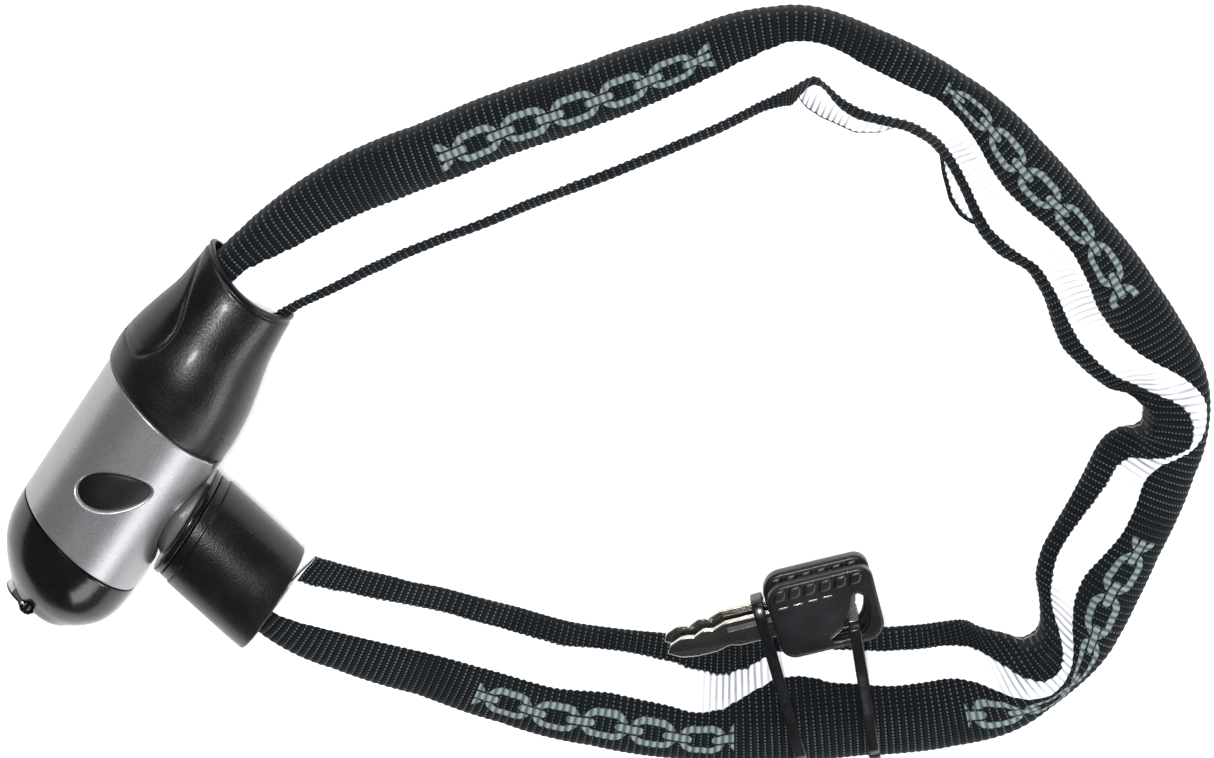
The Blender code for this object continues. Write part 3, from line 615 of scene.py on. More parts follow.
def makePlug():
    # three turned pieces: the boot's stepped cup, the dome's arc of a ball and a thin ring
    s = plugSettings
    radius, bore, start, end = s["radius"], s["bore"], s["start"], s["end"]
    inner = radius - s["wall"]
    corners = [(inner, end), (radius - 0.2, end), (radius, end - 6), (radius, start + 3.4),
               (radius - 0.45, start + 3.1), (radius - 0.5, start), (bore, start),
               (bore, s["floor"]), (inner, s["floor"])]
    outline = roundedProfile(corners, 0.7)[::-1]
    addTurned("plugBoot", outline, 240, mouldedBlack, ["plug_boot"])
    centre, dome = s["domeCentre"], s["dome"]
    low = centre - math.sqrt(dome**2 - bore**2)
    first = math.degrees(math.atan2(s["domeFoot"] - centre, math.sqrt(dome**2 - s["domeHollow"] ** 2)))
    last = math.degrees(math.atan2(low - centre, bore))
    arc = arcPoints((0, centre), dome, first, last, 60)
    outline = np.vstack([arc, [(bore, s["domeBack"])], [(arc[0, 0] - 0.2, s["domeBack"])]])
    addTurned("plugDome", outline, 200, silverPaint, ["plug_collar"])
    front, back = s["ring"]
    ring = [(s["ringRadius"], back), (s["ringRadius"], front), (bore, front), (bore, back)]
    addTurned("plugRing", roundedProfile(ring, 0.5), 200, glossBlack, ["plug_ring"])


makePlug()

print("sleeve")

sleeveSettings = {
    "routeStep": 0.25, "pitch": 2.16, "step": 0.27, "around": 72, "outside": 9.5, "top": 9.5, "links": 27,
    "start": 20.0, "stop": 15.5, "rib": 0.1,
    "splits": (136.0, 314.0, 480.0),
    "hinges": (2, 8, 15),
    "motifs": ((5.8, 10.4), (14.5, 19.1), (24.0, 28.8), (32.8, 37.2)),
}

# the chain's line through the loop, from the barrel round to the plug: x, y, z, droop of the flap
chainLine = [
    (-113.6, 27.4, 22, 0), (-109.2, 34.2, 22, 0), (-103.1, 41.4, 22, 0), (-93.8, 49.5, 20, 0.2),
    (-78.2, 60, 15, 0.6), (-61.9, 67.2, 11.5, 1), (-45.6, 73.2, 9.7, 1), (-29.3, 80.1, 9.4, 1),
    (-11, 86, 9.3, 1), (6, 92, 9.3, 1), (24, 98, 9.3, 1), (41, 103.5, 9.3, 1), (56, 105, 9.3, 1),
    (71, 100.5, 9.3, 1), (87, 93, 9.3, 1), (102, 84, 9.3, 1), (115, 73, 9.3, 1), (127, 60, 9.3, 1),
    (139, 46, 9.3, 1), (151, 31, 9.3, 1), (161, 16, 9.3, 1), (168.5, 2.2, 9.3, 1), (169.1, -13, 9.3, 1),
    (165, -28, 9.3, 1), (159, -44, 9.3, 1), (152, -61, 9.3, 1), (145, -77, 9.3, 1), (135, -88.5, 9.3, 1),
    (122, -98.5, 10, 1), (106, -103.3, 10.6, 1), (89, -105.5, 10.9, 1), (71, -107, 10.9, 1),
    (53, -108.5, 10.9, 1), (35, -109, 10, 1), (17, -107.5, 9.4, 1), (-1, -104.5, 9.3, 1),
    (-18, -100.5, 9.3, 1), (-36, -94.3, 10, 1), (-52.6, -87, 12.5, 0.7), (-69.5, -79.8, 16.5, 0.3),
    (-85.3, -72.4, 20, 0), (-96.2, -65.2, 22, 0), (-103, -59, 22, 0),
]

# where the bands run, inwards from the chain: point of the line, the stripe's outer and inner side,
# the cloth's edge, and how creased it is
bandLine = [
    (-1, -3, 11, 17, 0), (0, -3, 12, 17, 0), (1, -2.5, 13, 17.5, 0), (2, -1.5, 15.5, 18.5, 0),
    (3, 2.5, 19, 22, 0), (4, 6, 22.5, 26, 0), (5, 7.5, 24, 27.2, 0), (6, 7.7, 24, 27.3, 0),
    (7, 8, 24, 27.5, 0), (8, 7.5, 23, 26.5, 0), (9, 7, 22, 25.5, 0), (10, 4.5, 20.2, 23.8, 0),
    (11, 1.5, 17.8, 21.4, 0), (11.5, -0.6, 16, 21, 0), (12, -2, 13.8, 21, 0.1),
    (12.25, -2, 11.2, 19.5, 0.1), (12.42, -2, 8.8, 15, 0.1), (12.6, -1.8, 9.2, 11.6, 0.1),
    (12.8, -1.2, 11, 13.2, 0.1), (13, -0.6, 12.6, 15.4, 0.1), (13.25, -0.4, 13.6, 17.2, 0),
    (13.6, -0.2, 13.8, 18, 0), (14, -0.3, 12.4, 16.4, 0.25), (14.5, -1, 9.5, 13.9, 0.5),
    (15, 0.7, 9.5, 13.3, 0.2), (15.5, 3, 11.5, 14.8, 0.5), (16, 6, 14, 17.2, 0.6),
    (16.5, 7.3, 16.6, 19.8, 0.4), (17, 6.3, 18.6, 22.3, 0.1), (17.5, 4.4, 17.5, 22, 0.1),
    (18, 4, 14.6, 18.2, 0.5), (18.5, 6, 15.8, 19.4, 0.4), (19, 8.8, 17.8, 22.4, 0.5),
    (19.5, 8.8, 18.5, 24, 0.2), (20, 5.6, 17.1, 22.2, 0.1), (20.5, 0.6, 14, 19.6, 0.5),
    (21, -4.6, 7.5, 17.8, 1), (21.25, -7.4, 0, 13.5, 1), (21.5, -8, -3.4, 9, 1),
    (21.8, -7.9, -4.6, 8.2, 0.9), (22.05, -6.4, -5.6, 9.4, 0.6), (22.2, -4, -4, 11.8, 0.6),
    (22.4, 0, 0.1, 14.6, 0.8), (22.6, 3.2, 6.6, 17, 1), (22.8, 4.5, 10.4, 18, 0.8),
    (23, 5.6, 12, 18.6, 0.3), (23.5, 4.9, 12.8, 19, 0), (24, 4.9, 14.2, 19.4, 0),
    (24.5, 6.7, 16, 20.2, 0), (25, 8.8, 16.6, 20.8, 0), (25.5, 8.6, 14.7, 19.2, 0.3),
    (26, 5.8, 11.2, 15, 0.7), (26.5, -0.1, 3, 11, 1), (26.8, -2.8, -0.9, 9.6, 1),
    (27.1, -4.2, -1.2, 10.6, 1), (27.3, -4.3, 1.6, 13.6, 1), (27.6, -1.2, 8, 19, 0.8),
    (28, 5.4, 15, 23.6, 0.4), (28.5, 9.9, 18.8, 25.4, 0.1), (29, 12.2, 20.1, 26, 0),
    (30, 11.7, 20.8, 26.4, 0), (31, 13.6, 22.2, 27.4, 0), (31.6, 16.8, 23.3, 28, 0.1),
    (32, 16.4, 23.6, 28.2, 0.3), (32.5, 12.6, 18.6, 27.9, 0.9), (33, 8.3, 16.3, 27.6, 0.8),
    (33.5, 7, 17.2, 26.6, 0.2), (34, 8.2, 18.8, 25.8, 0), (35, 9, 19.6, 24.6, 0),
    (36, 7.2, 17.6, 23.4, 0), (37, 7, 17, 23, 0), (38, 6.2, 16.5, 22.2, 0), (39, 5.4, 16.2, 22.4, 0),
    (40, 4, 14.6, 21.6, 0), (41, 1, 11.6, 19.6, 0), (42, -1, 9.5, 17, 0), (43, -1.5, 9, 16.5, 0),
]


def blurred(values, width):
    # Averages a row of values with a bell of the given half width, in samples.
    reach = int(width * 3)
    bell = np.exp(-0.5 * (np.arange(-reach, reach + 1) / width) ** 2)
    padded = np.pad(values, reach, mode="edge")
    return np.convolve(padded, bell / bell.sum(), mode="valid")


def readRoute():
    # At even steps along the chain: place, droop, point of the line, band places and crease.
    first = inFrame(lockFrame, [[3.0, 0, 62.0]])[0]
    last = inFrame(plugFrame, [[-2.0, 0, 43.5]])[0]
    right, back = middleShift
    middle = [(x + right, y + back, z, droop, k) for k, (x, y, z, droop) in enumerate(chainLine)]
    rows = [(*first, 0, -1)] + middle + [(*last, 0, len(chainLine))]
    line = throughPoints(rows, sleeveSettings["routeStep"])
    bands = np.array(bandLine, float)
    columns = [blurred(np.interp(line[:, 4], bands[:, 0], bands[:, k]), 7) for k in (1, 2, 3, 4)]
    return np.column_stack([line] + columns)


route = readRoute()
routeAlong = np.arange(len(route)) * sleeveSettings["routeStep"]
routeLength = routeAlong[-1]


def readAt(places):
    # each column of the route, read at these distances along it
    return [np.interp(places, routeAlong, column) for column in route.T]


def inwardsAt(places, reach=4):
    # the line's heading, read a little before and after each place, and turned a quarter to the right
    before, after = readAt(places - reach), readAt(places + reach)
    heading = np.arctan2(after[1] - before[1], after[0] - before[0])
    return np.stack([np.sin(heading), -np.cos(heading), 0 * heading], axis=1)


def sectionCage(edge, droop):
    # Corners of the sleeve's section at each place: round the bulge, then out to the flap and back.
    s = sleeveSettings
    angles = np.radians(np.linspace(-90, -270, 11))
    power = 0.72
    across = s["outside"] * 1.035 * squarish(np.cos(angles), power)
    height = s["top"] * 1.03 * squarish(np.sin(angles), power)
    bulge = np.stack([across, height], axis=1)[None] + np.zeros((len(edge), 1, 1))
    edge = np.maximum(edge, 9.2)
    full = (1 - smoothStep(edge, 9.2, 14.5))[:, None]
    inner = 7.6 - 1.6 * full[:, 0]
    share = np.array([0.0, 0.25, 0.5, 0.72, 0.88, 0.97, 1.03])
    thinFlap = np.array([7.3, 5.0, 3.6, 2.7, 2.2, 1.9, 1.0])  # half thickness, out along a wide flap
    noFlap = np.array([9.0, 8.8, 8.2, 7.0, 5.4, 3.6, 1.5])  # and where the sleeve has no flap
    half = thinFlap * (1 - full) + noFlap * full
    inwards = inner[:, None] + share * (edge - inner)[:, None]
    inwards = np.concatenate([(inner - 2.8)[:, None], inwards], axis=1)
    thick = np.concatenate([np.full((len(edge), 1), 9.2), half], axis=1)
    middle = -(s["top"] - thick) * droop[:, None] * (1 - 0.75 * full)
    top = np.stack([inwards, middle + thick], axis=2)
    bottom = np.stack([inwards, np.maximum(middle - thick, -s["top"])], axis=2)[:, ::-1]
    return np.concatenate([bulge, top, bottom], axis=1)


def splineWeights(corners, count):
    # Weights of a closed cubic B-spline over its corners, one row for each point.
    place = np.arange(count) * corners / count
    index = np.floor(place).astype(int)
    t = place - index
    parts = [(1 - t) ** 3 / 6, (3 * t**3 - 6 * t**2 + 4) / 6,
             (-3 * t**3 + 3 * t**2 + 3 * t + 1) / 6, t**3 / 6]
    weights = np.zeros((count, corners))
    for offset, part in zip((-1, 0, 1, 2), parts):
        weights[np.arange(count), (index + offset) % corners] += part
    return weights


def waver(x, seed):
    # A slow, uneven wave between -1 and 1, the sum of three sines of unlike lengths.
    return (np.sin(x + seed) + 0.6 * np.sin(x * 1.73 + seed * 2.1) + 0.4 * np.sin(x * 3.1 + seed * 0.7)) / 2


def makeSleeve(first, last):
    # Sections along the chain's line, swelled by the links, ribbed by the weave and puckered at the creases.
    s = sleeveSettings
    places = np.linspace(first, last, round((last - first) / s["step"]) + 1)
    x, y, z, droop, point, outerSide, innerSide, edge, crease = readAt(places)
    inwards = inwardsAt(places)
    cage = sectionCage(edge, droop)
    weights = splineWeights(cage.shape[1], s["around"])
    section = np.einsum("mc,scd->smd", weights, cage)
    p, h = section[..., 0], section[..., 1]
    # the links swell the bulge in turn, and the flap lifts and sinks a little
    pitch = routeLength / s["links"]
    swell = np.abs(np.cos(math.pi * places / pitch))[:, None] ** 0.7
    onBulge = 1 - smoothStep(p, 2.0, 9.0)
    isTop = smoothStep(h, -7.5, -4.5)
    flap = smoothStep(p / edge[:, None], 0.45, 0.9)
    far = places[:, None]
    lift = 0.7 * waver(far / 9.0, 1.0) * flap + 0.5 * waver(far / 4.0 + p / 6, 4.0) * flap
    pucker = crease[:, None] * np.sin(far * 2 * math.pi / 5.4 + p * 0.35)
    pucker = pucker * smoothStep(p, -6.0, 3.0) * isTop
    scale = 1 + 0.035 * (swell - 0.5) * onBulge
    puffed = 0.9 * (crease[:, None] * flap * isTop)
    p, h = p * scale, h * scale + np.maximum(lift, -0.4) * isTop + puffed + 0.4 * pucker
    centre = np.stack([x, y, z], axis=1)[:, None]
    points = centre + p[..., None] * inwards[:, None] + h[..., None] * upwards
    # ribs across the strap, raised along the surface's own normal
    alongStrap = np.gradient(points, axis=0)
    aroundStrap = np.roll(points, -1, 1) - np.roll(points, 1, 1)
    normal = np.cross(aroundStrap, alongStrap)
    normal /= np.maximum(np.linalg.norm(normal, axis=2, keepdims=True), 1e-9)
    outwards = np.sign((normal * (points - centre)).sum(2).mean())
    rib = np.cos(places * 2 * math.pi / s["pitch"])[:, None]
    points = points + outwards * normal * (s["rib"] * rib)[..., None]
    points[..., 2] = np.maximum(points[..., 2], 0.05)
    # across the cloth: 0 at the flap's edge, 4 and 18 at the stripe's sides, 40 at the outer edge
    plain = section[..., 0]
    innerSide = np.maximum(innerSide, outerSide + 0.05)
    a, b, c = outerSide[:, None], innerSide[:, None], edge[:, None] + 0.3
    onStripe = 4 + 14 * (b - plain) / (b - a)
    outside = 18 + 22 * (a - plain) / (a + s["outside"])
    cloth = np.where(plain > b, 4 * (c - plain) / (c - b), np.where(plain > a, onStripe, outside))
    under = np.arange(s["around"]) > (cage.shape[1] - 8) * s["around"] / cage.shape[1]
    cloth = np.where(under[None, :] | (section[..., 1] < -3.0) & (plain < 0), 80 - cloth, cloth)
    uv = np.stack([far + 0 * cloth, cloth], axis=2)
    return points, uv, crease, point, section[..., 0]


def addValues(piece, label, values):
    # One value for each point, for the shader to read.
    attribute = piece.data.attributes.new(label, "FLOAT", "POINT")
    attribute.data.foreach_set("value", values)


def addSleeve(name, first, last, node):
    # one stretch of the sleeve, closed at both ends, with what the webbing's shader reads
    points, uv, crease, point, inwards = makeSleeve(first, last)
    rows, columns = points.shape[:2]
    faces = ringFaces(rows, columns)
    piece = addPiece(name, points, faces, webbing, None, [node], uv, sharp=180)
    zone = np.zeros(rows)
    for low, high in sleeveSettings["motifs"]:
        zone = np.maximum(zone, ((point > low) & (point < high)).astype(float))
    # the crease values also set the painted shade in the white stripe's rib valleys
    addValues(piece, "crease", np.repeat(crease, columns))
    addValues(piece, "motif", np.repeat(zone, columns))
    addValues(piece, "inwards", inwards.ravel())
    return piece


def makeWebbing():
    # Black ribbed tape with dotted weft rows, a white stripe near its edge and a woven row of chain links;
    # the ribs and creases carry painted shade and the stripe a painted glow.
    material, tree, shader = newMaterial("webbing", (0.01, 0.012, 0.016), 0.8)

    def plus(a, b):
        return calc(tree, "ADD", a, b)

    def minus(a, b):
        return calc(tree, "SUBTRACT", a, b)

    def times(a, b):
        return calc(tree, "MULTIPLY", a, b)

    def size(a):
        return calc(tree, "ABSOLUTE", a)

    def valueOf(label):
        return put(tree, "ShaderNodeAttribute", attribute_name=label).outputs["Fac"]

    shader.inputs["Sheen Weight"].default_value = 0.04
    shader.inputs["Sheen Roughness"].default_value = 0.5
    shader.inputs["Specular IOR Level"].default_value = 0.12
    uv = put(tree, "ShaderNodeUVMap", uv_map="UVMap").outputs[0]
    split = put(tree, "ShaderNodeSeparateXYZ", {0: uv})
    along, cloth = split.outputs[0], split.outputs[1]
    across = calc(tree, "MINIMUM", cloth, minus(80.0, cloth))
    crease = valueOf("crease")
    zone = valueOf("motif")
    place = objectPlace(tree)
    fuzz = noiseOf(tree, place, 1400.0, 2.0, 0.6)
    patches = noiseOf(tree, place, 60.0, 3.0)
    # ribs, with painted light on their ridges and painted shade in their valleys
    phase = times(along, 2 * math.pi / sleeveSettings["pitch"])
    rib = calc(tree, "COSINE", phase)
    valley = ramp(tree, rib, 1.0, 0.0, -1.0, -0.55, True)
    inwards = valueOf("inwards")
    turn = plus(times(inwards, 2 * math.pi), times(fuzz, 2.5))  # one dot to each millimetre
    dash = calc(tree, "SINE", turn)
    dots = times(valley, ramp(tree, dash, 0.0, 1.0, -0.5, 0.4, True))
    dots = times(dots, ramp(tree, patches, 0.45, 1.0, 0.35, 0.6))
    # painted light and shade: the black is lighter on the rib ridges and darker in the valleys
    paintedRibLight = ramp(tree, rib, 0.0, 1.0, -1.0, 1.0)
    black = mixColor(tree, paintedRibLight, (0.0015, 0.002, 0.003, 1), (0.005, 0.008, 0.012, 1))
    black = mixColor(tree, dots, black, (0.11, 0.13, 0.13, 1))
    # woven chain links
    linkPitch, linkMiddle = 15.0, 28.0
    share = calc(tree, "FRACT", calc(tree, "DIVIDE", along, linkPitch))
    local = minus(times(share, linkPitch), linkPitch / 2)
    off = times(size(minus(across, linkMiddle)), 0.85)

    def ringDistance(x, y, halfX, radius):
        # how far a point is outside a bar with round ends
        dx = calc(tree, "MAXIMUM", minus(size(x), halfX), 0.0)
        return minus(calc(tree, "SQRT", plus(times(dx, dx), times(y, y))), radius)

    oval = size(plus(ringDistance(local, off, 2.6, 4.6), 1.0))
    shifted = minus(size(local), linkPitch / 2)
    bar = ringDistance(shifted, off, 3.2, 1.15)
    jag = times(minus(fuzz, 0.5), 0.9)
    ovalFill = ramp(tree, plus(oval, jag), 1.0, 0.0, 0.85, 1.15)
    barFill = ramp(tree, plus(bar, jag), 1.0, 0.0, -0.15, 0.15)
    barRoom = ramp(tree, bar, 1.0, 0.0, 0.5, 0.8)
    fill = calc(tree, "MAXIMUM", times(ovalFill, minus(1.0, barRoom)), barFill)
    fill = times(fill, zone)
    # painted light and shade: the woven thread is lighter on the rib ridges and darker in the valleys
    paintedRibLight = ramp(tree, rib, 0.0, 1.0, -1.0, 0.6)
    thread = mixColor(tree, paintedRibLight, (0.08, 0.1, 0.105, 1), (0.27, 0.33, 0.345, 1))
    black = mixColor(tree, fill, black, thread)
    # reflective stripe, white, with painted shade in its rib valleys at the creases and a painted glow that
    # fades where it is shaded
    wobble = plus(across, times(rib, 0.12))
    wobble = plus(wobble, times(minus(fuzz, 0.5), 0.35))
    stripe = times(ramp(tree, wobble, 0.0, 1.0, 3.8, 4.1), ramp(tree, wobble, 1.0, 0.0, 17.9, 18.2))
    # painted shade: the stripe's rib valleys turn grey by the crease values
    paintedGrooveShade = ramp(tree, rib, 1.0, 0.12, -1.0, 0.3, True)
    shade = times(paintedGrooveShade, times(crease, ramp(tree, patches, 0.45, 1.0, 0.4, 0.6)))
    white = mixColor(tree, shade, (0.9, 0.905, 0.92, 1), (0.2, 0.22, 0.27, 1))
    white = mixColor(tree, ramp(tree, fuzz, 0.0, 0.12, 0.4, 0.7), white, (0.72, 0.74, 0.78, 1))
    tree.links.new(mixColor(tree, stripe, black, white), shader.inputs["Base Color"])
    tree.links.new(ramp(tree, stripe, 0.82, 0.6), shader.inputs["Roughness"])
    grooves = plus(times(rib, 0.5), times(fuzz, 0.8))
    grooves = plus(grooves, times(fill, 0.6))
    addBump(tree, shader, grooves, 0.5, 0.0003)
    # painted glow: the stripe emits its own white, less where it is shaded, so it shows pure white
    bright = times(stripe, minus(1.0, shade))
    glow = mixColor(tree, bright, (0, 0, 0, 1), white)
    tree.links.new(glow, shader.inputs["Emission Color"])
    shader.inputs["Emission Strength"].default_value = 0.4
    return material


webbing = makeWebbing()
starts = (sleeveSettings["start"],) + sleeveSettings["splits"]
ends = sleeveSettings["splits"] + (routeLength - sleeveSettings["stop"],)
sleevePieces = []
for number, (first, last) in enumerate(zip(starts, ends), 1):
    sleevePieces.append(addSleeve("sleeve%d" % number, first, last, "sleeve_%d" % number))


def hingeSpan(index, reach=9.0):
    # The two points, a little before and after a hinge along the chain.
    at = sleeveSettings["hinges"][index] * routeLength / sleeveSettings["links"]
    places = np.array([at - reach, at + reach])
    x, y, z = readAt(places)[:3]
    points = np.stack([x, y, z], axis=1) * mm
    return tuple(points[0].tolist()), tuple(points[1].tolist())


for index in range(3):
    start, end = hingeSpan(index)
    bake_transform(sleevePieces[index])
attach(sleevePieces[3], "chain_c")


def addFold(name, outline, whiteFrom, body, span=None):
    # a flat tube of cloth that peeps out from under the flap; its outline is a row of pairs,
    # the point of the line and the reach inwards
    s = sleeveSettings
    outline = np.array(outline)
    order = np.argsort(route[:, 4], kind="stable")
    ends = np.interp([outline[0, 0], outline[-1, 0]], route[order, 4], routeAlong[order])
    places = np.linspace(ends[0], ends[1], 120)
    x, y, z, droop, point = readAt(places)[:5]
    inwards = inwardsAt(places)
    outer = blurred(np.interp(point, outline[:, 0], outline[:, 1]), 3)
    angles = np.linspace(0, 2 * math.pi, 40, False)
    low = 7.0
    p = low + (outer - low)[:, None] * (0.5 + 0.5 * np.cos(angles))
    h = -s["top"] + 1.9 + 1.3 * squarish(np.sin(angles), 0.6) + 0 * p
    h = h + 0.25 * np.sin(places * 2 * math.pi / 3.4)[:, None] * (np.sin(angles) > 0)
    centre = np.stack([x, y, z], axis=1)[:, None]
    points = centre + p[..., None] * inwards[:, None] + h[..., None] * upwards
    rib = np.cos(places * 2 * math.pi / s["pitch"])[:, None]
    points[..., 2] = np.maximum(points[..., 2] + 0.1 * rib, 0.05)
    cloth = np.clip(whiteFrom + (outer[:, None] - p), 0, 17)
    uv = np.stack([places[:, None] + 0 * cloth, cloth], axis=2)
    piece = addPiece(name, points, ringFaces(*points.shape[:2]), webbing, None, (), uv, sharp=180)
    # painted shade: these values grey the fold's white stripe in its rib valleys, most near its outer edge
    addValues(piece, "crease", np.clip(1.2 - (outer[:, None] - p) * 0.16, 0, 1).ravel())
    addValues(piece, "inwards", p.ravel())
    if span is None:
        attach(piece, body)
    else:
        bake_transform(piece)


bendFold = [(12.12, 16), (12.3, 18.6), (12.6, 20.6), (13, 21.8), (13.7, 21.9), (14.1, 18.5), (14.4, 13)]
edgeFold = [(15.05, 10), (15.28, 13.6), (15.62, 18), (16.12, 22.4), (16.5, 23.4), (16.75, 22.4), (17.1, 18)]
addFold("foldAtBend", bendFold, 3.4, ("chain_a", "chain_b"), hingeSpan(1))
addFold("foldAtEdge", edgeFold, 2.4, "chain_b")

linkSettings = {
    "bar": 3.7, "opening": 7.4,
    "bodies": [(2, "lock_body"), (8, "chain_a"), (15, "chain_b"), (26, "chain_c")],  # the last link on each
}


def makeLinks():
    # Two half circles joined by straights, with a rounded square carried round them, along the
    # sleeve's line; each link is turned a quarter from the last.
    k = linkSettings
    pitch = routeLength / sleeveSettings["links"]
    straight = pitch / 2 + k["bar"] / 2 - k["opening"] / 2
    reach = (k["opening"] + k["bar"]) / 2
    right = arcPoints((straight, 0), reach, -90, 90, 17)
    left = arcPoints((-straight, 0), reach, 90, 270, 17)
    line = np.vstack([right, left])
    outwards = line - np.sign(line[:, :1]) * np.array([straight, 0])
    outwards /= np.linalg.norm(outwards, axis=1, keepdims=True)
    angles = np.linspace(0, 2 * math.pi, 20, False)
    a = k["bar"] / 2 * squarish(np.cos(angles), 0.4)
    b = k["bar"] / 2 * squarish(np.sin(angles), 0.4)
    flat = line[:, None] + outwards[:, None] * a[None, :, None]
    faces = gridFaces(*flat.shape[:2], wrapRows=True)
    for number in range(2, 27):
        body = next(name for last, name in k["bodies"] if number <= last)
        x, y, z = readAt(np.array([number - 1.0, number]) * pitch)[:3]
        ends = np.stack([x, y, z], axis=1)
        run = (ends[1] - ends[0]) / np.linalg.norm(ends[1] - ends[0])
        side = np.cross(upwards, run)
        side /= np.linalg.norm(side)
        up = np.cross(run, side)
        wide, deep = (side, up) if number % 2 == linksFlat else (up, side)
        points = ends.mean(0) + flat[..., :1] * run + flat[..., 1:] * wide + b[None, :, None] * deep
        node = "chain_link_%02d" % number
        addPiece("link%02d" % number, points, faces, chainSteel, body, [node])


def isFlat(node):
    # a link that lies flat is lower than one that stands
    heights = np.array([v.co.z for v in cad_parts[node].data.vertices])
    return heights.max() - heights.min() < 12 * mm


linksFlat = 0 if isFlat("chain_link_10") else 1
makeLinks()

print("keys")

keySettings = {
    "turn": 14.5, "thick": 2.2, "head": 5.0,
    "places": [(21.1, -78.3, 13.5), (20.1, -76.5, 8.1)],
    "blade": [(0, -1.2), (1.5, 1.2), (5, 2.6), (7.4, 2.5), (9, 2.0), (12, 3.4), (13.6, 3.3), (15, 2.8),
              (19, 4.2), (33, 4.2), (45, 4.2), (45, -4.2), (22, -4.2), (19, -3.4), (15, -4.4),
              (9, -4.4), (4, -3.6)],
    "opening": [(59.5, 3.5), (57.2, -1.5), (54.2, -5.5), (49.5, -8.8), (54.5, -9.2), (59.2, -8.6),
                (61.8, -4), (62.2, 1.5)],
    "groove": [(19.5, 1.7), (26, 1.75), (34.5, 1.8)],
    "bow": [(59.2, 4.2), (58.3, 1.0), (56.6, -2.0), (54.0, -5.1), (51.0, -7.4), (48.6, -8.7)],
}


def keyFrame(place):
    # the key's length and height turned in the table's plane
    turn = math.radians(keySettings["turn"])
    frameOf = np.eye(4)
    frameOf[:3, 0] = (math.cos(turn), math.sin(turn), 0)
    frameOf[:3, 1] = (-math.sin(turn), math.cos(turn), 0)
    frameOf[:3, 3] = place
    return frameOf


def padPoints(centres, half, slope):
    # Rounded pads: superellipsoids on a grid of two angles, one for each centre.
    u = np.linspace(0, 2 * math.pi, 28, False)[None, :]
    v = np.linspace(-math.pi / 2, math.pi / 2, 15)[:, None]
    power = 0.55
    x = half[0] * squarish(np.cos(v), power) * squarish(np.cos(u), power)
    y = half[1] * squarish(np.cos(v), power) * squarish(np.sin(u), power)
    z = half[2] * np.sin(v) + 0 * u
    pad = np.stack([x + slope * y, y, z], axis=-1)
    return np.asarray(centres, float)[:, None, None] + pad[None]


def manyGrids(grids):
    # Joins equal grids of rings into one list of points and closed faces.
    count, rows, columns = grids.shape[:3]
    faces = []
    one = ringFaces(rows, columns)
    for k in range(count):
        faces += [[i + k * rows * columns for i in face] for face in one]
    return grids.reshape(-1, 3), faces


def ribbonPoints(line, wide, tall):
    # A rounded rectangle carried along a flat line.
    line = throughPoints(np.column_stack([line, np.zeros(len(line))]), 0.5)
    run = np.gradient(line, axis=0)
    run /= np.linalg.norm(run, axis=1, keepdims=True)
    side = np.stack([-run[:, 1], run[:, 0], 0 * run[:, 0]], axis=1)
    angles = np.linspace(0, 2 * math.pi, 12, False)
    a = wide / 2 * squarish(np.cos(angles), 0.5)
    b = tall / 2 * squarish(np.sin(angles), 0.5)
    return line[:, None] + side[:, None] * a[None, :, None] + upwards * b[None, :, None]


def addKey(number, place):
    # a flat blade and head, each a plate with rounded edges, and the small pieces on them
    k = keySettings
    where = keyFrame(place)
    name = "key%d" % number
    mesh = placed(plateMesh([roundedProfile(k["blade"], 0.7)], k["thick"], 0.45), where)
    finishes = [bladeEdgeHighlight, bladeFlatShade]
    node = "key_%d_blade" % number
    blade = finishPiece(name + "Blade", mesh, finishes, "chain_c", [node], 30, 0.002)
    # flat faces take the shaded copy of the metal and the rest the highlighted copy
    normals = np.empty(len(blade.data.polygons) * 3)
    blade.data.polygons.foreach_get("normal", normals)
    flatFaces = (np.abs(normals.reshape(-1, 3)[:, 2]) > 0.97).astype(int)
    blade.data.polygons.foreach_set("material_index", flatFaces)
    # milled groove, as a strip let into the shank in the blade's highlighted metal, a painted highlight
    groove = ribbonPoints(k["groove"], 1.5, 0.3) + np.array([0, 0, k["thick"] / 2])
    faces = ringFaces(*groove.shape[:2])
    groove = inFrame(where, groove.reshape(-1, 3))
    addPiece(name + "Groove", groove, faces, bladeEdgeHighlight, "chain_c")
    head = np.vstack([arcPoints((39, 6), 6, 180, 90, 10), arcPoints((61.5, 7.5), 4.5, 90, 0, 10),
                      arcPoints((60.5, -6.5), 5.5, 0, -90, 10), arcPoints((38.5, -7), 5, 270, 180, 10)])
    opening = np.column_stack([k["opening"], np.zeros(len(k["opening"]))])
    opening = throughPoints(opening, 0.8, closed=True)[:, :2]
    mesh = placed(plateMesh([head, opening], k["head"], 1.1), where)
    node = "key_%d_head" % number
    finishPiece(name + "Head", mesh, keyBlack, "chain_c", [node], 50, 0.002)
    # grip pads along the upper edge and a dashed line below them
    centres = [(37.3 + 4.7 * i, 8.9, k["head"] / 2 - 0.45) for i in range(6)]
    points, faces = manyGrids(padPoints(centres, (2.1, 2.2, 1.1), 0.35))
    points = inFrame(where, points)
    addPiece(name + "Pads", points, faces, keyBlack, "chain_c", weld=0.01)
    centres = [(37.5 + 4.6 * i, 4.9 + 0.12 * i, k["head"] / 2) for i in range(4)]
    points, faces = manyGrids(padPoints(centres, (1.5, 0.2, 0.12), 0.0))
    points = inFrame(where, points)
    addPiece(name + "Dashes", points, faces, machinedSteel, "chain_c", weld=0.01)
    # the bow's bare edge in the opening, in the blade's highlighted metal as a painted highlight
    bow = ribbonPoints(k["bow"], 1.3, 3.4)
    faces = ringFaces(*bow.shape[:2])
    bow = inFrame(where, bow.reshape(-1, 3))
    addPiece(name + "Bow", bow, faces, bladeEdgeHighlight, "chain_c")


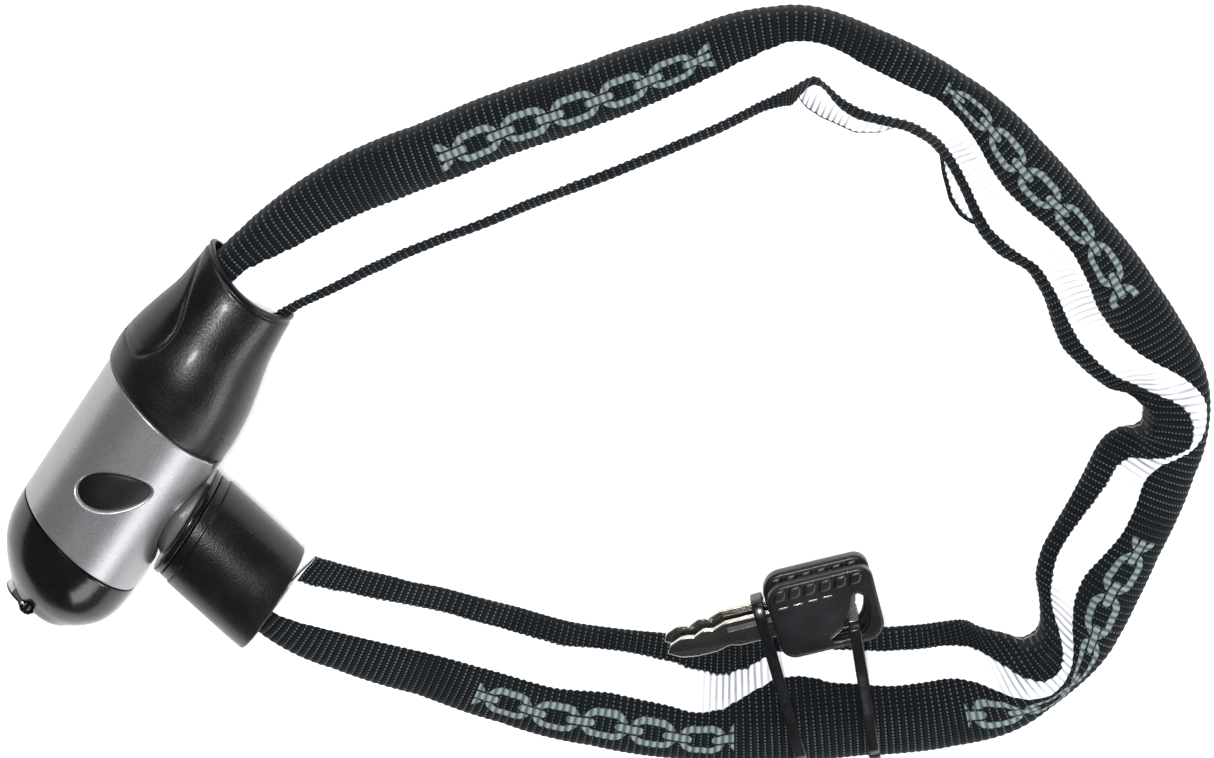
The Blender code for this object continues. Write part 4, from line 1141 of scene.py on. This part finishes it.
for number, place in enumerate(keySettings["places"]):
    addKey(number + 1, place)

print("ties")

tieSettings = {
    "wide": 3.6, "thick": 1.2,
    "common": [(-6.5, 1.5), (-9.9, 4.5), (-10.6, 11), (-10.1, 17.2), (-6.5, 20.6), (0, 21), (5, 20.6)],
    "over": [(28, 17), (40.4, 16.6), (43.6, 15.4), (43.6, 8.2), (41.6, 6.0), (29, 1.5)],
    "through": [(20, 17.2), (33.2, 17.2), (34.2, 16.2), (34.2, 2.6), (33, 1.5)],
    "runs": [((57.4, -108.2), (44.6, -64.3), "over"), ((80.2, -106.2), (74.9, -74.4), "through")],
}


def addTie(number, start, end, path):
    # A rounded band carried round a closed outline that stands across the strap.
    t = tieSettings
    outline = np.array(t["common"] + t[path], float)
    ahead = np.roll(outline, -1, axis=0) - np.roll(outline, 1, axis=0)
    ahead /= np.linalg.norm(ahead, axis=1)[:, None]
    outline = outline + t["thick"] / 2 * np.stack([-ahead[:, 1], ahead[:, 0]], axis=1)
    rounded = roundedProfile(outline, 3.0)
    line = throughPoints(np.column_stack([rounded, np.zeros(len(rounded))]), 0.5, closed=True)[:, :2]
    run = np.roll(line, -1, axis=0) - np.roll(line, 1, axis=0)
    run /= np.linalg.norm(run, axis=1)[:, None]
    side = np.stack([-run[:, 1], run[:, 0]], axis=1)
    angles = np.linspace(0, 2 * math.pi, 16, False)
    a = t["thick"] / 2 * squarish(np.cos(angles), 0.6)
    b = t["wide"] / 2 * squarish(np.sin(angles), 0.35)
    flat = line[:, None] + side[:, None] * a[None, :, None]
    inwards = np.array([end[0] - start[0], end[1] - start[1], 0.0])
    inwards /= np.linalg.norm(inwards)
    sideways = np.cross(inwards, upwards)
    origin = np.array([start[0] + middleShift[0], start[1] + middleShift[1], 0])
    points = origin + flat[..., :1] * inwards + flat[..., 1:] * upwards + b[None, :, None] * sideways
    faces = gridFaces(*points.shape[:2], wrapRows=True)
    addPiece("cableTie%d" % number, points, faces, nylonBlack, "chain_c", ["cable_tie_%d" % number])


for number, (start, end, path) in enumerate(tieSettings["runs"]):
    addTie(number + 1, start, end, path)

print("studio")

floorSettings = {"half": 4.0, "height": -0.0004, "glow": 0.45}  # metres
floorMesh = bpy.data.meshes.new("floor")
half, height = floorSettings["half"], floorSettings["height"]
corners = [(x * half, y * half, height) for x, y in ((-1, -1), (1, -1), (1, 1), (-1, 1))]
floorMesh.from_pydata(corners, [], [(0, 1, 2, 3)])
floor = bpy.data.objects.new("floor", floorMesh)
floorPaint, tree, shader = newMaterial("floorPaint", (0.93, 0.93, 0.93), 0.95)
shader.inputs["Specular IOR Level"].default_value = 0.0
shader.inputs["Emission Color"].default_value = (1, 1, 1, 1)
shader.inputs["Emission Strength"].default_value = floorSettings["glow"]
floorMesh.materials.append(floorPaint)
scene.collection.objects.link(floor)

lightSettings = [
    # name, place, target, size, watts; places in metres
    ("rightBox", (1.15, -0.75, 0.66), (-0.1, -0.02, 0.02), (1.1, 0.45), 12.5),
    ("farBox", (0.3, 1.9, 1.1), (0.0, 0.0, 0.0), (1.4, 0.8), 13.0),
    ("nearBox", (0.5, -2.0, 1.3), (0.0, 0.0, 0.0), (1.4, 0.8), 20.0),
    ("flash", (-0.06, 0.34, 1.15), (-0.05, 0.0, 0.0), (0.17, 0.12), 10.5),
]
for name, place, target, area, watts in lightSettings:
    data = bpy.data.lights.new(name, "AREA")
    data.shape = "RECTANGLE"
    data.size, data.size_y = area
    data.energy = watts
    light = bpy.data.objects.new(name, data)
    light.location = place
    light.rotation_euler = (Vector(target) - Vector(place)).to_track_quat("-Z", "Y").to_euler()
    scene.collection.objects.link(light)
world = bpy.data.worlds.new("studio")
world.use_nodes = True
world.node_tree.nodes["Background"].inputs[0].default_value = (0.92, 0.96, 1.0, 1)
world.node_tree.nodes["Background"].inputs[1].default_value = 0.12
scene.world = world
scene.view_settings.view_transform = "Standard"
